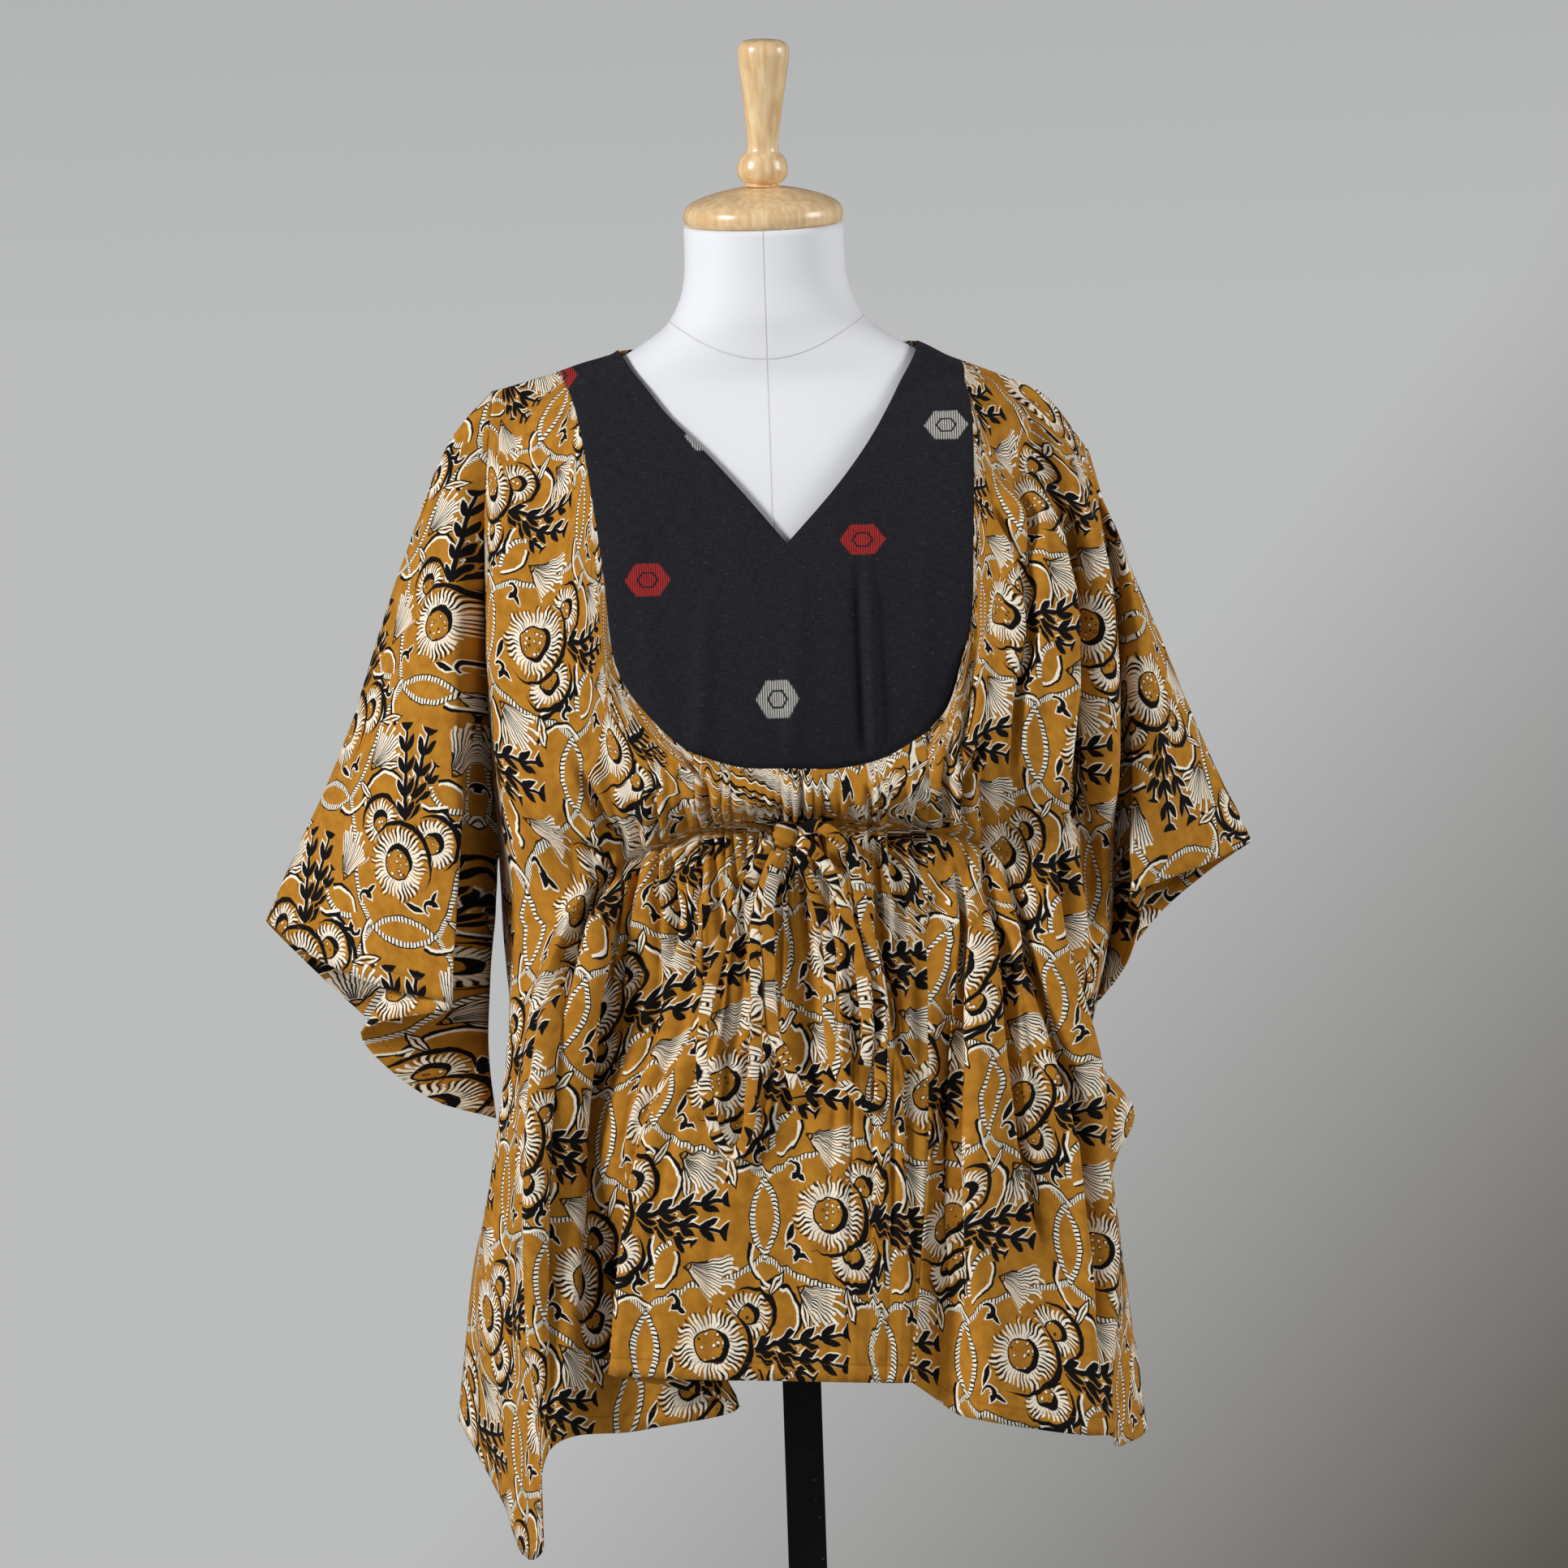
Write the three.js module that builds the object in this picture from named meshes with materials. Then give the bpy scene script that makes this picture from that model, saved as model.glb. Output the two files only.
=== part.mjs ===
// A short kaftan of block-printed cotton worn by a limbless dress form.
// Millimetres. +X is the viewer's right, +Y points away behind the wearer, +Z up.
// The origin is the centre of the base's underside, on the floor.

import * as THREE from 'three';

// ---- driving dimensions ----------------------------------------------------------------------

const CLOTH = 1.5;          // wall of every cut-and-sewn piece
const SEAM_GAP = 0.3;       // clearance between two pieces along a shared seam
const REST = 4.9;           // least distance from the form to the middle of the cloth
const STATIONS = ['top', 'bust', 'blouse', 'waist', 'skirt', 'low', 'hem'];
const STEPS = [5, 2, 2, 3, 3, 3];           // rows of facets between two stations
const UNDERARM = STATIONS.indexOf('waist'); // the armholes end at this station
const YOKE_STEPS = 4;       // rows of facets between the yoke's neck edge and its outer seam
const SLEEVE_STEPS = 8;     // rows of facets between armhole and cuff

const TIE = { width: 9, wall: 1.6, lift: 2.2, layer: 2.6 };
const KNOT = { width: 17, height: 20, depth: 11, x: 1, z: 1040, gap: 0.6 };

const NECK_TOP = { z: 1466, y: -8, tilt: THREE.MathUtils.degToRad(8) };
const KNOB_LEAN = THREE.MathUtils.degToRad(2.4);
const FORM_BOTTOM = 742;
const FORM_SIDES = 40;
const FORM_RINGS = 28;

const POST = { side: 27, chamfer: 2, bottom: 12 };
const BASE = { radius: 200, height: 12, lip: 4 };

const OCHRE = 0xb88024;
const PRINT_SHADE = 0xa9772a;
const BLACK_CLOTH = 0x212024;
const FORM_WHITE = 0xe6e3dd;
const WOOD = 0xd6aa69;
const BLACK_PAINT = 0x1d1c1b;

// ---- the form: half widths and depths by height -----------------------------------------------

const FORM_SECTIONS = [
  // height, half width, depth in front, depth behind, middle, squareness
  { z: 742, w: 150, front: 92, back: 104, y: 0, power: 2.1 },
  { z: 800, w: 168, front: 106, back: 117, y: 0, power: 2.15 },
  { z: 860, w: 164, front: 102, back: 110, y: 0, power: 2.15 },
  { z: 930, w: 138, front: 90, back: 88, y: 0, power: 2.15 },
  { z: 1000, w: 119, front: 84, back: 72, y: 0, power: 2.15 },
  { z: 1060, w: 126, front: 98, back: 76, y: 0, power: 2.2 },
  { z: 1120, w: 144, front: 118, back: 86, y: 0, power: 2.3 },
  { z: 1180, w: 156, front: 124, back: 96, y: 0, power: 2.3 },
  { z: 1240, w: 168, front: 112, back: 102, y: 0, power: 2.3 },
  { z: 1290, w: 177, front: 92, back: 100, y: 0, power: 2.25 },
  { z: 1320, w: 178, front: 74, back: 92, y: 0, power: 2.2 },
  { z: 1340, w: 162, front: 64, back: 78, y: 0, power: 2.15 },
  { z: 1356, w: 141, front: 58, back: 68, y: -1, power: 2.1 },
  { z: 1371, w: 112, front: 57, back: 60, y: -3, power: 2.05 },
  { z: 1384, w: 89, front: 56, back: 57, y: -5, power: 2 },
  { z: 1398, w: 70, front: 57, back: 55, y: -6, power: 2 },
  { z: 1424, w: 58, front: 55, back: 54, y: -7, power: 2 },
  { z: 1466, w: 56, front: 55, back: 55, y: -8, power: 2 },
];

// ---- the cloth: one row per fold line, from the top edge down to the hem -----------------------
// n is the number of facets from this line to the next one.

const SIDE_LEFT_FRONT = {
  n: 2, top: [-194, 5, 1355], bust: [-201, -38, 1268], blouse: [-203, -46, 1150],
  waist: [-200, -14, 1030], skirt: [-192, -8, 884], low: [-227, -6, 733], hem: [-240, -8, 635],
};
const SIDE_LEFT_BACK = { ...SIDE_LEFT_FRONT, bust: [-203, 40, 1262], blouse: [-205, 46, 1140], n: 2 };

const SEAM_LEFT = {
  n: 3, top: [-60, -134, 1096], bust: [-60, -138, 1084], blouse: [-59, -139, 1068],
  waist: [-58, -116, 1043], skirt: [-60, -126, 928], low: [-105, -148, 827], hem: [-130, -152, 673],
};
const SEAM_RIGHT = {
  n: 2, top: [100, -129, 1106], bust: [101, -133, 1090], blouse: [101, -136, 1070],
  waist: [99, -112, 1038], skirt: [93, -128, 900], low: [88, -146, 791], hem: [76, -153, 661],
};

const SIDE_RIGHT_FRONT = {
  n: 2, top: [222, 5, 1301], bust: [234, -28, 1220], blouse: [238, -40, 1110],
  waist: [230, -10, 1008], skirt: [203, -8, 888], low: [225, -6, 743], hem: [241, -18, 612],
};
const SIDE_RIGHT_BACK = { ...SIDE_RIGHT_FRONT, bust: [234, 36, 1216], blouse: [238, 44, 1105], n: 2 };

const FRONT_LEFT = [
  SIDE_LEFT_FRONT,
  { n: 2, top: [-170, 5, 1361], bust: [-191, -80, 1222], blouse: [-195, -90, 1098],
    waist: [-187, -80, 1004], skirt: [-196, -78, 895], low: [-216, -72, 757], hem: [-212, -66, 583] },
  { n: 4, top: [-146, 5, 1368], bust: [-170, -94, 1216], blouse: [-176, -106, 1092],
    waist: [-168, -96, 1002], skirt: [-182, -112, 902], low: [-200, -110, 773], hem: [-195, -100, 546] },
  { n: 2, top: [-133, -70, 1330], bust: [-148, -108, 1194], blouse: [-154, -114, 1086],
    waist: [-146, -96, 1006], skirt: [-168, -130, 908], low: [-184, -136, 787], hem: [-183, -132, 552] },
  { n: 2, top: [-119, -112, 1231], bust: [-127, -122, 1158], blouse: [-130, -118, 1086],
    waist: [-124, -94, 1012], skirt: [-154, -136, 920], low: [-167, -150, 807], hem: [-173, -150, 625] },
  { n: 3, top: [-110, -122, 1155], bust: [-113, -127, 1122], blouse: [-112, -121, 1076],
    waist: [-108, -92, 1024], skirt: [-130, -96, 920], low: [-148, -112, 817], hem: [-112, -122, 632] },
  { n: 2, top: [-82, -130, 1115], bust: [-84, -135, 1096], blouse: [-85, -136, 1070],
    waist: [-84, -106, 1034], skirt: [-92, -114, 924], low: [-116, -134, 823], hem: [-44, -138, 647] },
  SEAM_LEFT,
];
const FRONT_LEFT_CORNERS = [2];

const FRONT_CENTRE = [
  SEAM_LEFT,
  { n: 3, top: [-28, -137, 1087], bust: [-29, -141, 1076], blouse: [-30, -144, 1063],
    waist: [-30, -122, 1047], skirt: [-30, -134, 925], low: [-62, -158, 820], hem: [-76, -162, 669] },
  { n: 3, top: [5, -138, 1085], bust: [5, -141, 1075], blouse: [5, -142, 1064],
    waist: [4, -120, 1049], skirt: [4, -132, 922], low: [-10, -156, 813], hem: [-14, -162, 666] },
  { n: 3, top: [38, -137, 1084], bust: [38, -141, 1074], blouse: [39, -143, 1063],
    waist: [38, -121, 1047], skirt: [40, -138, 915], low: [34, -160, 805], hem: [28, -166, 664] },
  { n: 2, top: [70, -134, 1090], bust: [71, -138, 1079], blouse: [72, -141, 1066],
    waist: [70, -117, 1043], skirt: [68, -130, 908], low: [63, -152, 797], hem: [54, -158, 662] },
  SEAM_RIGHT,
];

const FRONT_RIGHT = [
  SEAM_RIGHT,
  { n: 2, top: [117, -124, 1125], bust: [119, -129, 1106], blouse: [120, -131, 1077],
    waist: [120, -104, 1034], skirt: [112, -116, 896], low: [105, -130, 785], hem: [104, -138, 639] },
  { n: 2, top: [133, -116, 1175], bust: [136, -124, 1142], blouse: [138, -126, 1086],
    waist: [140, -94, 1026], skirt: [128, -128, 893], low: [123, -150, 777], hem: [127, -156, 633] },
  { n: 2, top: [138, -104, 1243], bust: [153, -116, 1178], blouse: [158, -120, 1090],
    waist: [160, -88, 1020], skirt: [156, -112, 888], low: [156, -130, 769], hem: [162, -142, 625] },
  { n: 4, top: [140, -66, 1330], bust: [174, -104, 1196], blouse: [178, -114, 1090],
    waist: [180, -94, 1012], skirt: [182, -108, 884], low: [188, -122, 757], hem: [194, -140, 620] },
  { n: 2, top: [131, 5, 1368], bust: [192, -86, 1222], blouse: [196, -104, 1096],
    waist: [196, -84, 1010], skirt: [199, -92, 880], low: [209, -112, 747], hem: [212, -126, 618] },
  { n: 2, top: [161, 5, 1356], bust: [208, -56, 1230], blouse: [211, -62, 1102],
    waist: [211, -50, 1004], skirt: [203, -64, 884], low: [214, -74, 743], hem: [217, -86, 607] },
  { n: 2, top: [192, 5, 1341], bust: [220, -64, 1232], blouse: [223, -80, 1104],
    waist: [222, -56, 1000], skirt: [206, -38, 886], low: [224, -40, 743], hem: [232, -50, 609] },
  SIDE_RIGHT_FRONT,
];
const FRONT_RIGHT_CORNERS = [5];

const BACK = [
  SIDE_RIGHT_BACK,
  { n: 2, top: [192, 5, 1341], bust: [212, 72, 1226], blouse: [212, 84, 1100],
    waist: [200, 56, 1010], skirt: [196, 54, 888], low: [218, 62, 744], hem: [230, 46, 622] },
  { n: 2, top: [161, 5, 1356], bust: [190, 90, 1222], blouse: [188, 98, 1098],
    waist: [174, 74, 1016], skirt: [176, 92, 888], low: [196, 106, 750], hem: [206, 102, 634] },
  { n: 4, top: [131, 5, 1368], bust: [160, 102, 1216], blouse: [156, 104, 1094],
    waist: [138, 78, 1026], skirt: [146, 110, 888], low: [160, 134, 756], hem: [168, 138, 642] },
  { n: 4, top: [103, 5, 1378], bust: [112, 112, 1208], blouse: [108, 108, 1088],
    waist: [92, 84, 1036], skirt: [104, 116, 888], low: [112, 140, 760], hem: [116, 150, 646] },
  { n: 3, top: [72, 52, 1384], bust: [58, 117, 1200], blouse: [56, 112, 1084],
    waist: [48, 90, 1042], skirt: [54, 128, 888], low: [56, 146, 762], hem: [58, 154, 648] },
  { n: 3, top: [0, 70, 1379], bust: [0, 120, 1196], blouse: [0, 118, 1082],
    waist: [0, 94, 1044], skirt: [0, 122, 888], low: [-2, 140, 764], hem: [-4, 146, 650] },
  { n: 4, top: [-72, 52, 1385], bust: [-60, 117, 1200], blouse: [-58, 113, 1084],
    waist: [-50, 89, 1042], skirt: [-56, 130, 888], low: [-62, 150, 762], hem: [-66, 158, 648] },
  { n: 4, top: [-105, 5, 1380], bust: [-114, 112, 1208], blouse: [-110, 108, 1088],
    waist: [-96, 82, 1034], skirt: [-110, 114, 888], low: [-122, 138, 760], hem: [-130, 148, 646] },
  { n: 2, top: [-146, 5, 1368], bust: [-166, 96, 1218], blouse: [-160, 98, 1094],
    waist: [-146, 72, 1024], skirt: [-158, 100, 888], low: [-184, 118, 754], hem: [-190, 120, 640] },
  { n: 2, top: [-170, 5, 1361], bust: [-188, 78, 1226], blouse: [-186, 80, 1100],
    waist: [-176, 50, 1020], skirt: [-182, 58, 890], low: [-214, 66, 744], hem: [-220, 64, 630] },
  SIDE_LEFT_BACK,
];
const BACK_CORNERS = [3, 4, 8, 9];

// The neck's slit edge, from the left shoulder ridge down to the point and up to the right ridge.
const NECK_LEFT = [[-105, 5, 1380], [-93, -34, 1363], [-73, -66, 1335], [-45, -90, 1305],
  [-21, -106, 1277], [9, -118, 1240]];
const NECK_RIGHT = [[9, -118, 1240], [43, -108, 1277], [66, -90, 1307], [83, -66, 1335],
  [96, -34, 1361], [103, 5, 1378]];

// The sleeves: one row per fold line, from the armhole out to the cuff.
// at is the place on the armhole, counted in stations, below 0 on the back half.
const SLEEVE_LEFT = [
  { at: -3, near: [-205, -6, 984], mid: [-210, -12, 936], far: [-212, -18, 888], cuff: [-208, -22, 846] },
  { at: -2, near: [-216, 44, 1080], mid: [-226, 42, 1010], far: [-240, 36, 940], cuff: [-256, 26, 874] },
  { at: -1, near: [-222, 52, 1200], mid: [-244, 58, 1108], far: [-270, 54, 1004], cuff: [-300, 42, 918] },
  { at: -0.5, near: [-222, 38, 1284], mid: [-258, 46, 1186], far: [-298, 42, 1062], cuff: [-340, 30, 958] },
  { at: 0, near: [-229, 4, 1315], mid: [-259, 2, 1240], far: [-304, 0, 1120], cuff: [-365, 0, 989] },
  { at: 0.5, near: [-222, -38, 1280], mid: [-256, -50, 1186], far: [-294, -52, 1072], cuff: [-336, -40, 967] },
  { at: 1, near: [-222, -68, 1212], mid: [-242, -82, 1126], far: [-262, -88, 1030], cuff: [-284, -76, 943] },
  { at: 1.75, near: [-217, -74, 1138], mid: [-222, -92, 1076], far: [-227, -100, 1004],
    cuff: [-233, -98, 928] },
  { at: 2.25, near: [-212, -48, 1076], mid: [-228, -54, 1022], far: [-262, -56, 968],
    cuff: [-299, -52, 910] },
  { at: 2.75, near: [-209, -28, 1024], mid: [-218, -32, 974], far: [-238, -34, 918],
    cuff: [-255, -34, 863] },
  { at: 3, near: [-205, -6, 984], mid: [-210, -12, 936], far: [-212, -18, 888], cuff: [-208, -22, 846] },
];
const SLEEVE_RIGHT = [
  { at: 3, near: [233, -8, 984], mid: [232, -6, 958], far: [226, -4, 930], cuff: [214, -4, 904] },
  { at: 2.75, near: [239, -26, 1022], mid: [242, -28, 996], far: [243, -26, 966], cuff: [238, -22, 935] },
  { at: 2.25, near: [243, -36, 1058], mid: [248, -40, 1030], far: [252, -40, 1001], cuff: [249, -36, 972] },
  { at: 1.75, near: [244, -52, 1118], mid: [245, -66, 1080], far: [243, -74, 1036], cuff: [241, -76, 990] },
  { at: 1, near: [246, -50, 1176], mid: [256, -64, 1118], far: [262, -68, 1060], cuff: [265, -66, 999] },
  { at: 0.5, near: [240, -30, 1240], mid: [260, -42, 1166], far: [278, -46, 1084], cuff: [297, -40, 1009] },
  { at: 0, near: [237, 3, 1248], mid: [260, 2, 1188], far: [288, 0, 1114], cuff: [328, 0, 1022] },
  { at: -0.5, near: [239, 30, 1236], mid: [258, 40, 1160], far: [276, 42, 1080], cuff: [300, 34, 1002] },
  { at: -1, near: [242, 46, 1172], mid: [250, 56, 1108], far: [256, 56, 1040], cuff: [266, 48, 974] },
  { at: -2, near: [240, 38, 1062], mid: [242, 42, 1026], far: [242, 40, 986], cuff: [240, 32, 944] },
  { at: -3, near: [233, -8, 984], mid: [232, -6, 958], far: [226, -4, 930], cuff: [214, -4, 904] },
];

// Soft swells pressed out of the lofted surfaces: centre, reach and push.
const SWELLS = [
  { at: [216, -30, 838], reach: 30, push: [29, -4, 0] },
  { at: [236, 20, 836], reach: 26, push: [8, 0, 0] },
];

// The ties: centre lines as seen from the front, in millimetres across and up.
const TIE_LOOP_LEFT = [[-10.4, 1035.6], [-19, 1017], [-32, 995], [-43, 972], [-52, 942], [-58, 919], [-61, 897],
  [-61, 879], [-58, 858], [-52, 834], [-43, 822], [-36, 827], [-30, 844], [-28, 866], [-24, 896],
  [-22, 928], [-22, 959], [-20, 983], [-14, 1007], [-6, 1028]];
const TIE_END_LEFT = [[-1.5, 1029], [-9, 1007], [-13, 986], [-13, 954], [-13, 927], [-11, 902], [-4, 886],
  [2, 869], [6, 855]];
const TIE_LOOP_RIGHT = [[9.9, 1042.2], [24, 1045], [36, 1037], [46, 1023], [51, 996], [55, 972], [59, 948],
  [62, 924], [62, 899], [61, 875], [59, 854], [51, 852], [43, 861], [34, 872], [29, 889], [27, 910],
  [28, 936], [29, 958], [24, 986], [17, 1007], [9, 1028]];
const TIE_END_RIGHT = [[10.3, 1035.6], [27, 1020], [36, 996], [44, 972], [50, 944], [53, 911], [52, 890], [50, 880]];

// ---- splines ------------------------------------------------------------------------------------

const vec = (p) => new THREE.Vector3(...p);

// A centripetal Catmull-Rom spline at parameter w; the curve is free to turn sharply at each kink.
function spline(points, w, kinks = []) {
  const i = Math.min(Math.floor(w), points.length - 2);
  const t = w - i;
  const b = points[i];
  const c = points[i + 1];
  const a = i > 0 && !kinks.includes(i) ? points[i - 1] : b.clone().multiplyScalar(2).sub(c);
  const open = i + 2 < points.length && !kinks.includes(i + 1);
  const d = open ? points[i + 2] : c.clone().multiplyScalar(2).sub(b);
  const k0 = Math.sqrt(a.distanceTo(b));
  const k1 = Math.sqrt(b.distanceTo(c));
  const k2 = Math.sqrt(c.distanceTo(d));
  const slope = (p, q, r, s0, s1) => q.clone().sub(p).divideScalar(s0)
    .sub(r.clone().sub(p).divideScalar(s0 + s1))
    .add(r.clone().sub(q).divideScalar(s1))
    .multiplyScalar(k1);
  const m1 = slope(a, b, c, k0, k1);
  const m2 = slope(b, c, d, k1, k2);
  const t2 = t * t;
  const t3 = t2 * t;
  return b.clone().multiplyScalar(2 * t3 - 3 * t2 + 1)
    .addScaledVector(m1, t3 - 2 * t2 + t)
    .addScaledVector(c, 3 * t2 - 2 * t3)
    .addScaledVector(m2, t3 - t2);
}

function samples(steps) {
  const out = [0];
  steps.forEach((n, i) => {
    for (let k = 1; k <= n; k += 1) out.push(i + k / n);
  });
  return out;
}

// ---- the form as a rule: how far outside it a point lies ----------------------------------------

const sectionRows = FORM_SECTIONS.map((s) => [vec([s.w, s.front, s.back]), vec([s.y, s.power, 0])]);

function sectionAt(z) {
  const last = FORM_SECTIONS.length - 1;
  let i = 0;
  while (i < last - 1 && FORM_SECTIONS[i + 1].z < z) i += 1;
  const span = FORM_SECTIONS[i + 1].z - FORM_SECTIONS[i].z;
  const t = THREE.MathUtils.clamp((z - FORM_SECTIONS[i].z) / span, 0, 1);
  const mix = (column) => {
    const at = (k) => sectionRows[THREE.MathUtils.clamp(k, 0, last)][column];
    const zAt = (k) => FORM_SECTIONS[THREE.MathUtils.clamp(k, 0, last)].z;
    const slope = (k) => at(k + 1).clone().sub(at(k - 1)).divideScalar(zAt(k + 1) - zAt(k - 1));
    const t2 = t * t;
    const t3 = t2 * t;
    return at(i).clone().multiplyScalar(2 * t3 - 3 * t2 + 1)
      .addScaledVector(slope(i), span * (t3 - 2 * t2 + t))
      .addScaledVector(at(i + 1), 3 * t2 - 2 * t3)
      .addScaledVector(slope(i + 1), span * (t3 - t2));
  };
  const size = mix(0);
  const shape = mix(1);
  return { w: size.x, front: size.y, back: size.z, y: shape.x, power: shape.y };
}

function formRadius(p) {
  const s = sectionAt(p.z);
  const y = p.y - s.y;
  const depth = y < 0 ? s.front : s.back;
  return ((Math.abs(p.x) / s.w) ** s.power + (Math.abs(y) / depth) ** s.power) ** (1 / s.power);
}

// Moves a point straight out of the form until it lies at least the given distance away.
function clearOfForm(p, distance) {
  if (p.z < FORM_BOTTOM - 30) return p;
  for (let k = 0; k < 8; k += 1) {
    const r = formRadius(p);
    if (r > 1.4) return p;
    const e = 0.5;
    const grad = new THREE.Vector3(
      formRadius(p.clone().setX(p.x + e)) - formRadius(p.clone().setX(p.x - e)),
      formRadius(p.clone().setY(p.y + e)) - formRadius(p.clone().setY(p.y - e)),
      formRadius(p.clone().setZ(p.z + e)) - formRadius(p.clone().setZ(p.z - e)),
    ).divideScalar(2 * e);
    const steep = grad.length();
    const gap = (r - 1) / steep;
    if (gap >= distance) return p;
    p.addScaledVector(grad.divideScalar(steep), (distance - gap) * 0.9);
  }
  return p;
}

function settle(p) {
  SWELLS.forEach(({ at, reach, push }) => {
    const far = p.distanceToSquared(vec(at)) / reach ** 2;
    p.addScaledVector(vec(push), Math.exp(-far));
  });
  return clearOfForm(p, REST);
}

// ---- cloth grids: columns run across the piece, rows down it ------------------------------------

const ROWS = samples(STEPS);

function bodyGrid(lines, corners = []) {
  const paths = lines.map((line) => STATIONS.map((s) => vec(line[s])));
  const last = lines.length - 1;
  const isSide = (i) => (i === 0 && lines[0].side) || (i === last && lines[last].side);
  const across = samples(lines.slice(0, -1).map((line) => line.n));
  const tops = paths.map((path) => path[0]);
  return across.map((u) => ROWS.map((v) => {
    const cut = paths.map((path, i) => spline(path, v, isSide(i) ? [UNDERARM] : []));
    const p = spline(cut, u);
    if (v < 1 && corners.length) {
      const edge = spline(tops, u, corners).sub(spline(tops, u));
      p.addScaledVector(edge, (1 - v) ** 2);
    }
    return p;
  }));
}

[SIDE_LEFT_FRONT, SIDE_LEFT_BACK, SIDE_RIGHT_FRONT, SIDE_RIGHT_BACK].forEach((line) => {
  line.side = true;
});

const grids = {
  front_left: bodyGrid(FRONT_LEFT, FRONT_LEFT_CORNERS),
  front_centre: bodyGrid(FRONT_CENTRE),
  front_right: bodyGrid(FRONT_RIGHT, FRONT_RIGHT_CORNERS),
  back: bodyGrid(BACK, BACK_CORNERS),
};

function columnOf(lines, index) {
  return lines.slice(0, index).reduce((sum, line) => sum + line.n, 0);
}

// The yoke hangs between the slit's edge and the top edges of the three front pieces.
function yokeGrid() {
  const left = grids.front_left.slice(columnOf(FRONT_LEFT, FRONT_LEFT_CORNERS[0]));
  const right = grids.front_right.slice(1, columnOf(FRONT_RIGHT, FRONT_RIGHT_CORNERS[0]) + 1);
  const seam = [...left, ...grids.front_centre.slice(1), ...right].map((column) => column[0]);
  const middle = left.length - 1 + columnOf(FRONT_CENTRE, 2);
  const reach = [0];
  for (let i = 1; i < seam.length; i += 1) reach.push(reach[i - 1] + seam[i].distanceTo(seam[i - 1]));
  const point = reach[middle];
  const end = reach[reach.length - 1];
  return seam.map((outer, i) => {
    const onLeft = i <= middle;
    const share = onLeft ? reach[i] / point : (reach[i] - point) / (end - point);
    const edge = (onLeft ? NECK_LEFT : NECK_RIGHT).map(vec);
    const eased = onLeft ? share ** 0.92 : 1 - (1 - share) ** 0.92;
    const inner = spline(edge, eased * (edge.length - 1));
    const bow = Math.sin((Math.PI * reach[i]) / end) ** 0.7;
    return Array.from({ length: YOKE_STEPS + 1 }, (_, k) => {
      const t = k / YOKE_STEPS;
      const p = inner.clone().lerp(outer, t);
      p.y -= 12 * bow * 4 * t * (1 - t) * (0.6 + 0.4 * t);
      return p;
    });
  });
}
grids.yoke = yokeGrid();

// A sleeve starts on the armhole, which it shares with the front and back pieces.
function sleeveGrid(lines, frontEdge, backEdge) {
  const armRows = ROWS.filter((v) => v <= UNDERARM);
  const front = [];
  armRows.forEach((v, k) => {
    front.push({ at: v, seam: frontEdge[k] });
    if (k + 1 < armRows.length) {
      const seam = frontEdge[k].clone().lerp(frontEdge[k + 1], 0.5);
      front.push({ at: (v + armRows[k + 1]) / 2, seam, half: true });
    }
  });
  const back = armRows.map((v, k) => ({ at: -v, seam: backEdge[k] })).slice(1).reverse();
  const ring = [...back, ...front];
  if (lines[0].at > 0) ring.reverse();
  const starts = lines.map(({ at }) => ring.reduce((best, r) => (
    Math.abs(r.at - at) < Math.abs(best.at - at) ? r : best)));
  const places = starts.map((r) => r.at);
  const sign = Math.sign(places[places.length - 1] - places[0]);
  const paths = lines.map((line, i) => [starts[i].seam, ...['near', 'mid', 'far', 'cuff'].map((s) => vec(line[s]))]);
  return ring.map(({ at, seam, half }) => {
    let i = 0;
    while (i < lines.length - 2 && (at - places[i + 1]) * sign > 1e-6) i += 1;
    const u = i + THREE.MathUtils.clamp((at - places[i]) / (places[i + 1] - places[i]), 0, 1);
    const lofted = spline(paths.map((path) => path[0]), u);
    const column = Array.from({ length: SLEEVE_STEPS + 1 }, (_, k) => {
      const t = k / SLEEVE_STEPS;
      const p = spline(paths.map((path) => spline(path, t * 4)), u);
      return p.addScaledVector(seam.clone().sub(lofted), (1 - t) ** 3);
    });
    return Object.assign(column, { half });
  });
}
const columns = (name) => grids[name];
const lastColumn = (name) => grids[name][grids[name].length - 1];
grids.sleeve_left = sleeveGrid(SLEEVE_LEFT, columns('front_left')[0], lastColumn('back'));
grids.sleeve_right = sleeveGrid(SLEEVE_RIGHT, lastColumn('front_right'), columns('back')[0]);

Object.values(grids).forEach((grid) => grid.forEach((column) => column.forEach((p, j) => {
  column[j] = settle(p.clone());
})));
const SLEEVES = ['sleeve_left', 'sleeve_right'];
SLEEVES.forEach((name) => grids[name].forEach((column, i, grid) => {
  if (column.half) column[0] = grid[i - 1][0].clone().lerp(grid[i + 1][0], 0.5);
}));

// ---- walls: every grid becomes one closed shell of the cloth's thickness -------------------------

const key = (p) => `${p.x.toFixed(2)},${p.y.toFixed(2)},${p.z.toFixed(2)}`;

function gridNormals(grid) {
  const wide = grid.length;
  const tall = grid[0].length;
  return grid.map((column, i) => column.map((p, j) => {
    const left = grid[Math.max(i - 1, 0)][j];
    const right = grid[Math.min(i + 1, wide - 1)][j];
    const up = column[Math.max(j - 1, 0)];
    const down = column[Math.min(j + 1, tall - 1)];
    return down.clone().sub(up).cross(right.clone().sub(left)).normalize();
  }));
}

const normals = Object.fromEntries(Object.entries(grids).map(([name, grid]) => [name, gridNormals(grid)]));

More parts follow.
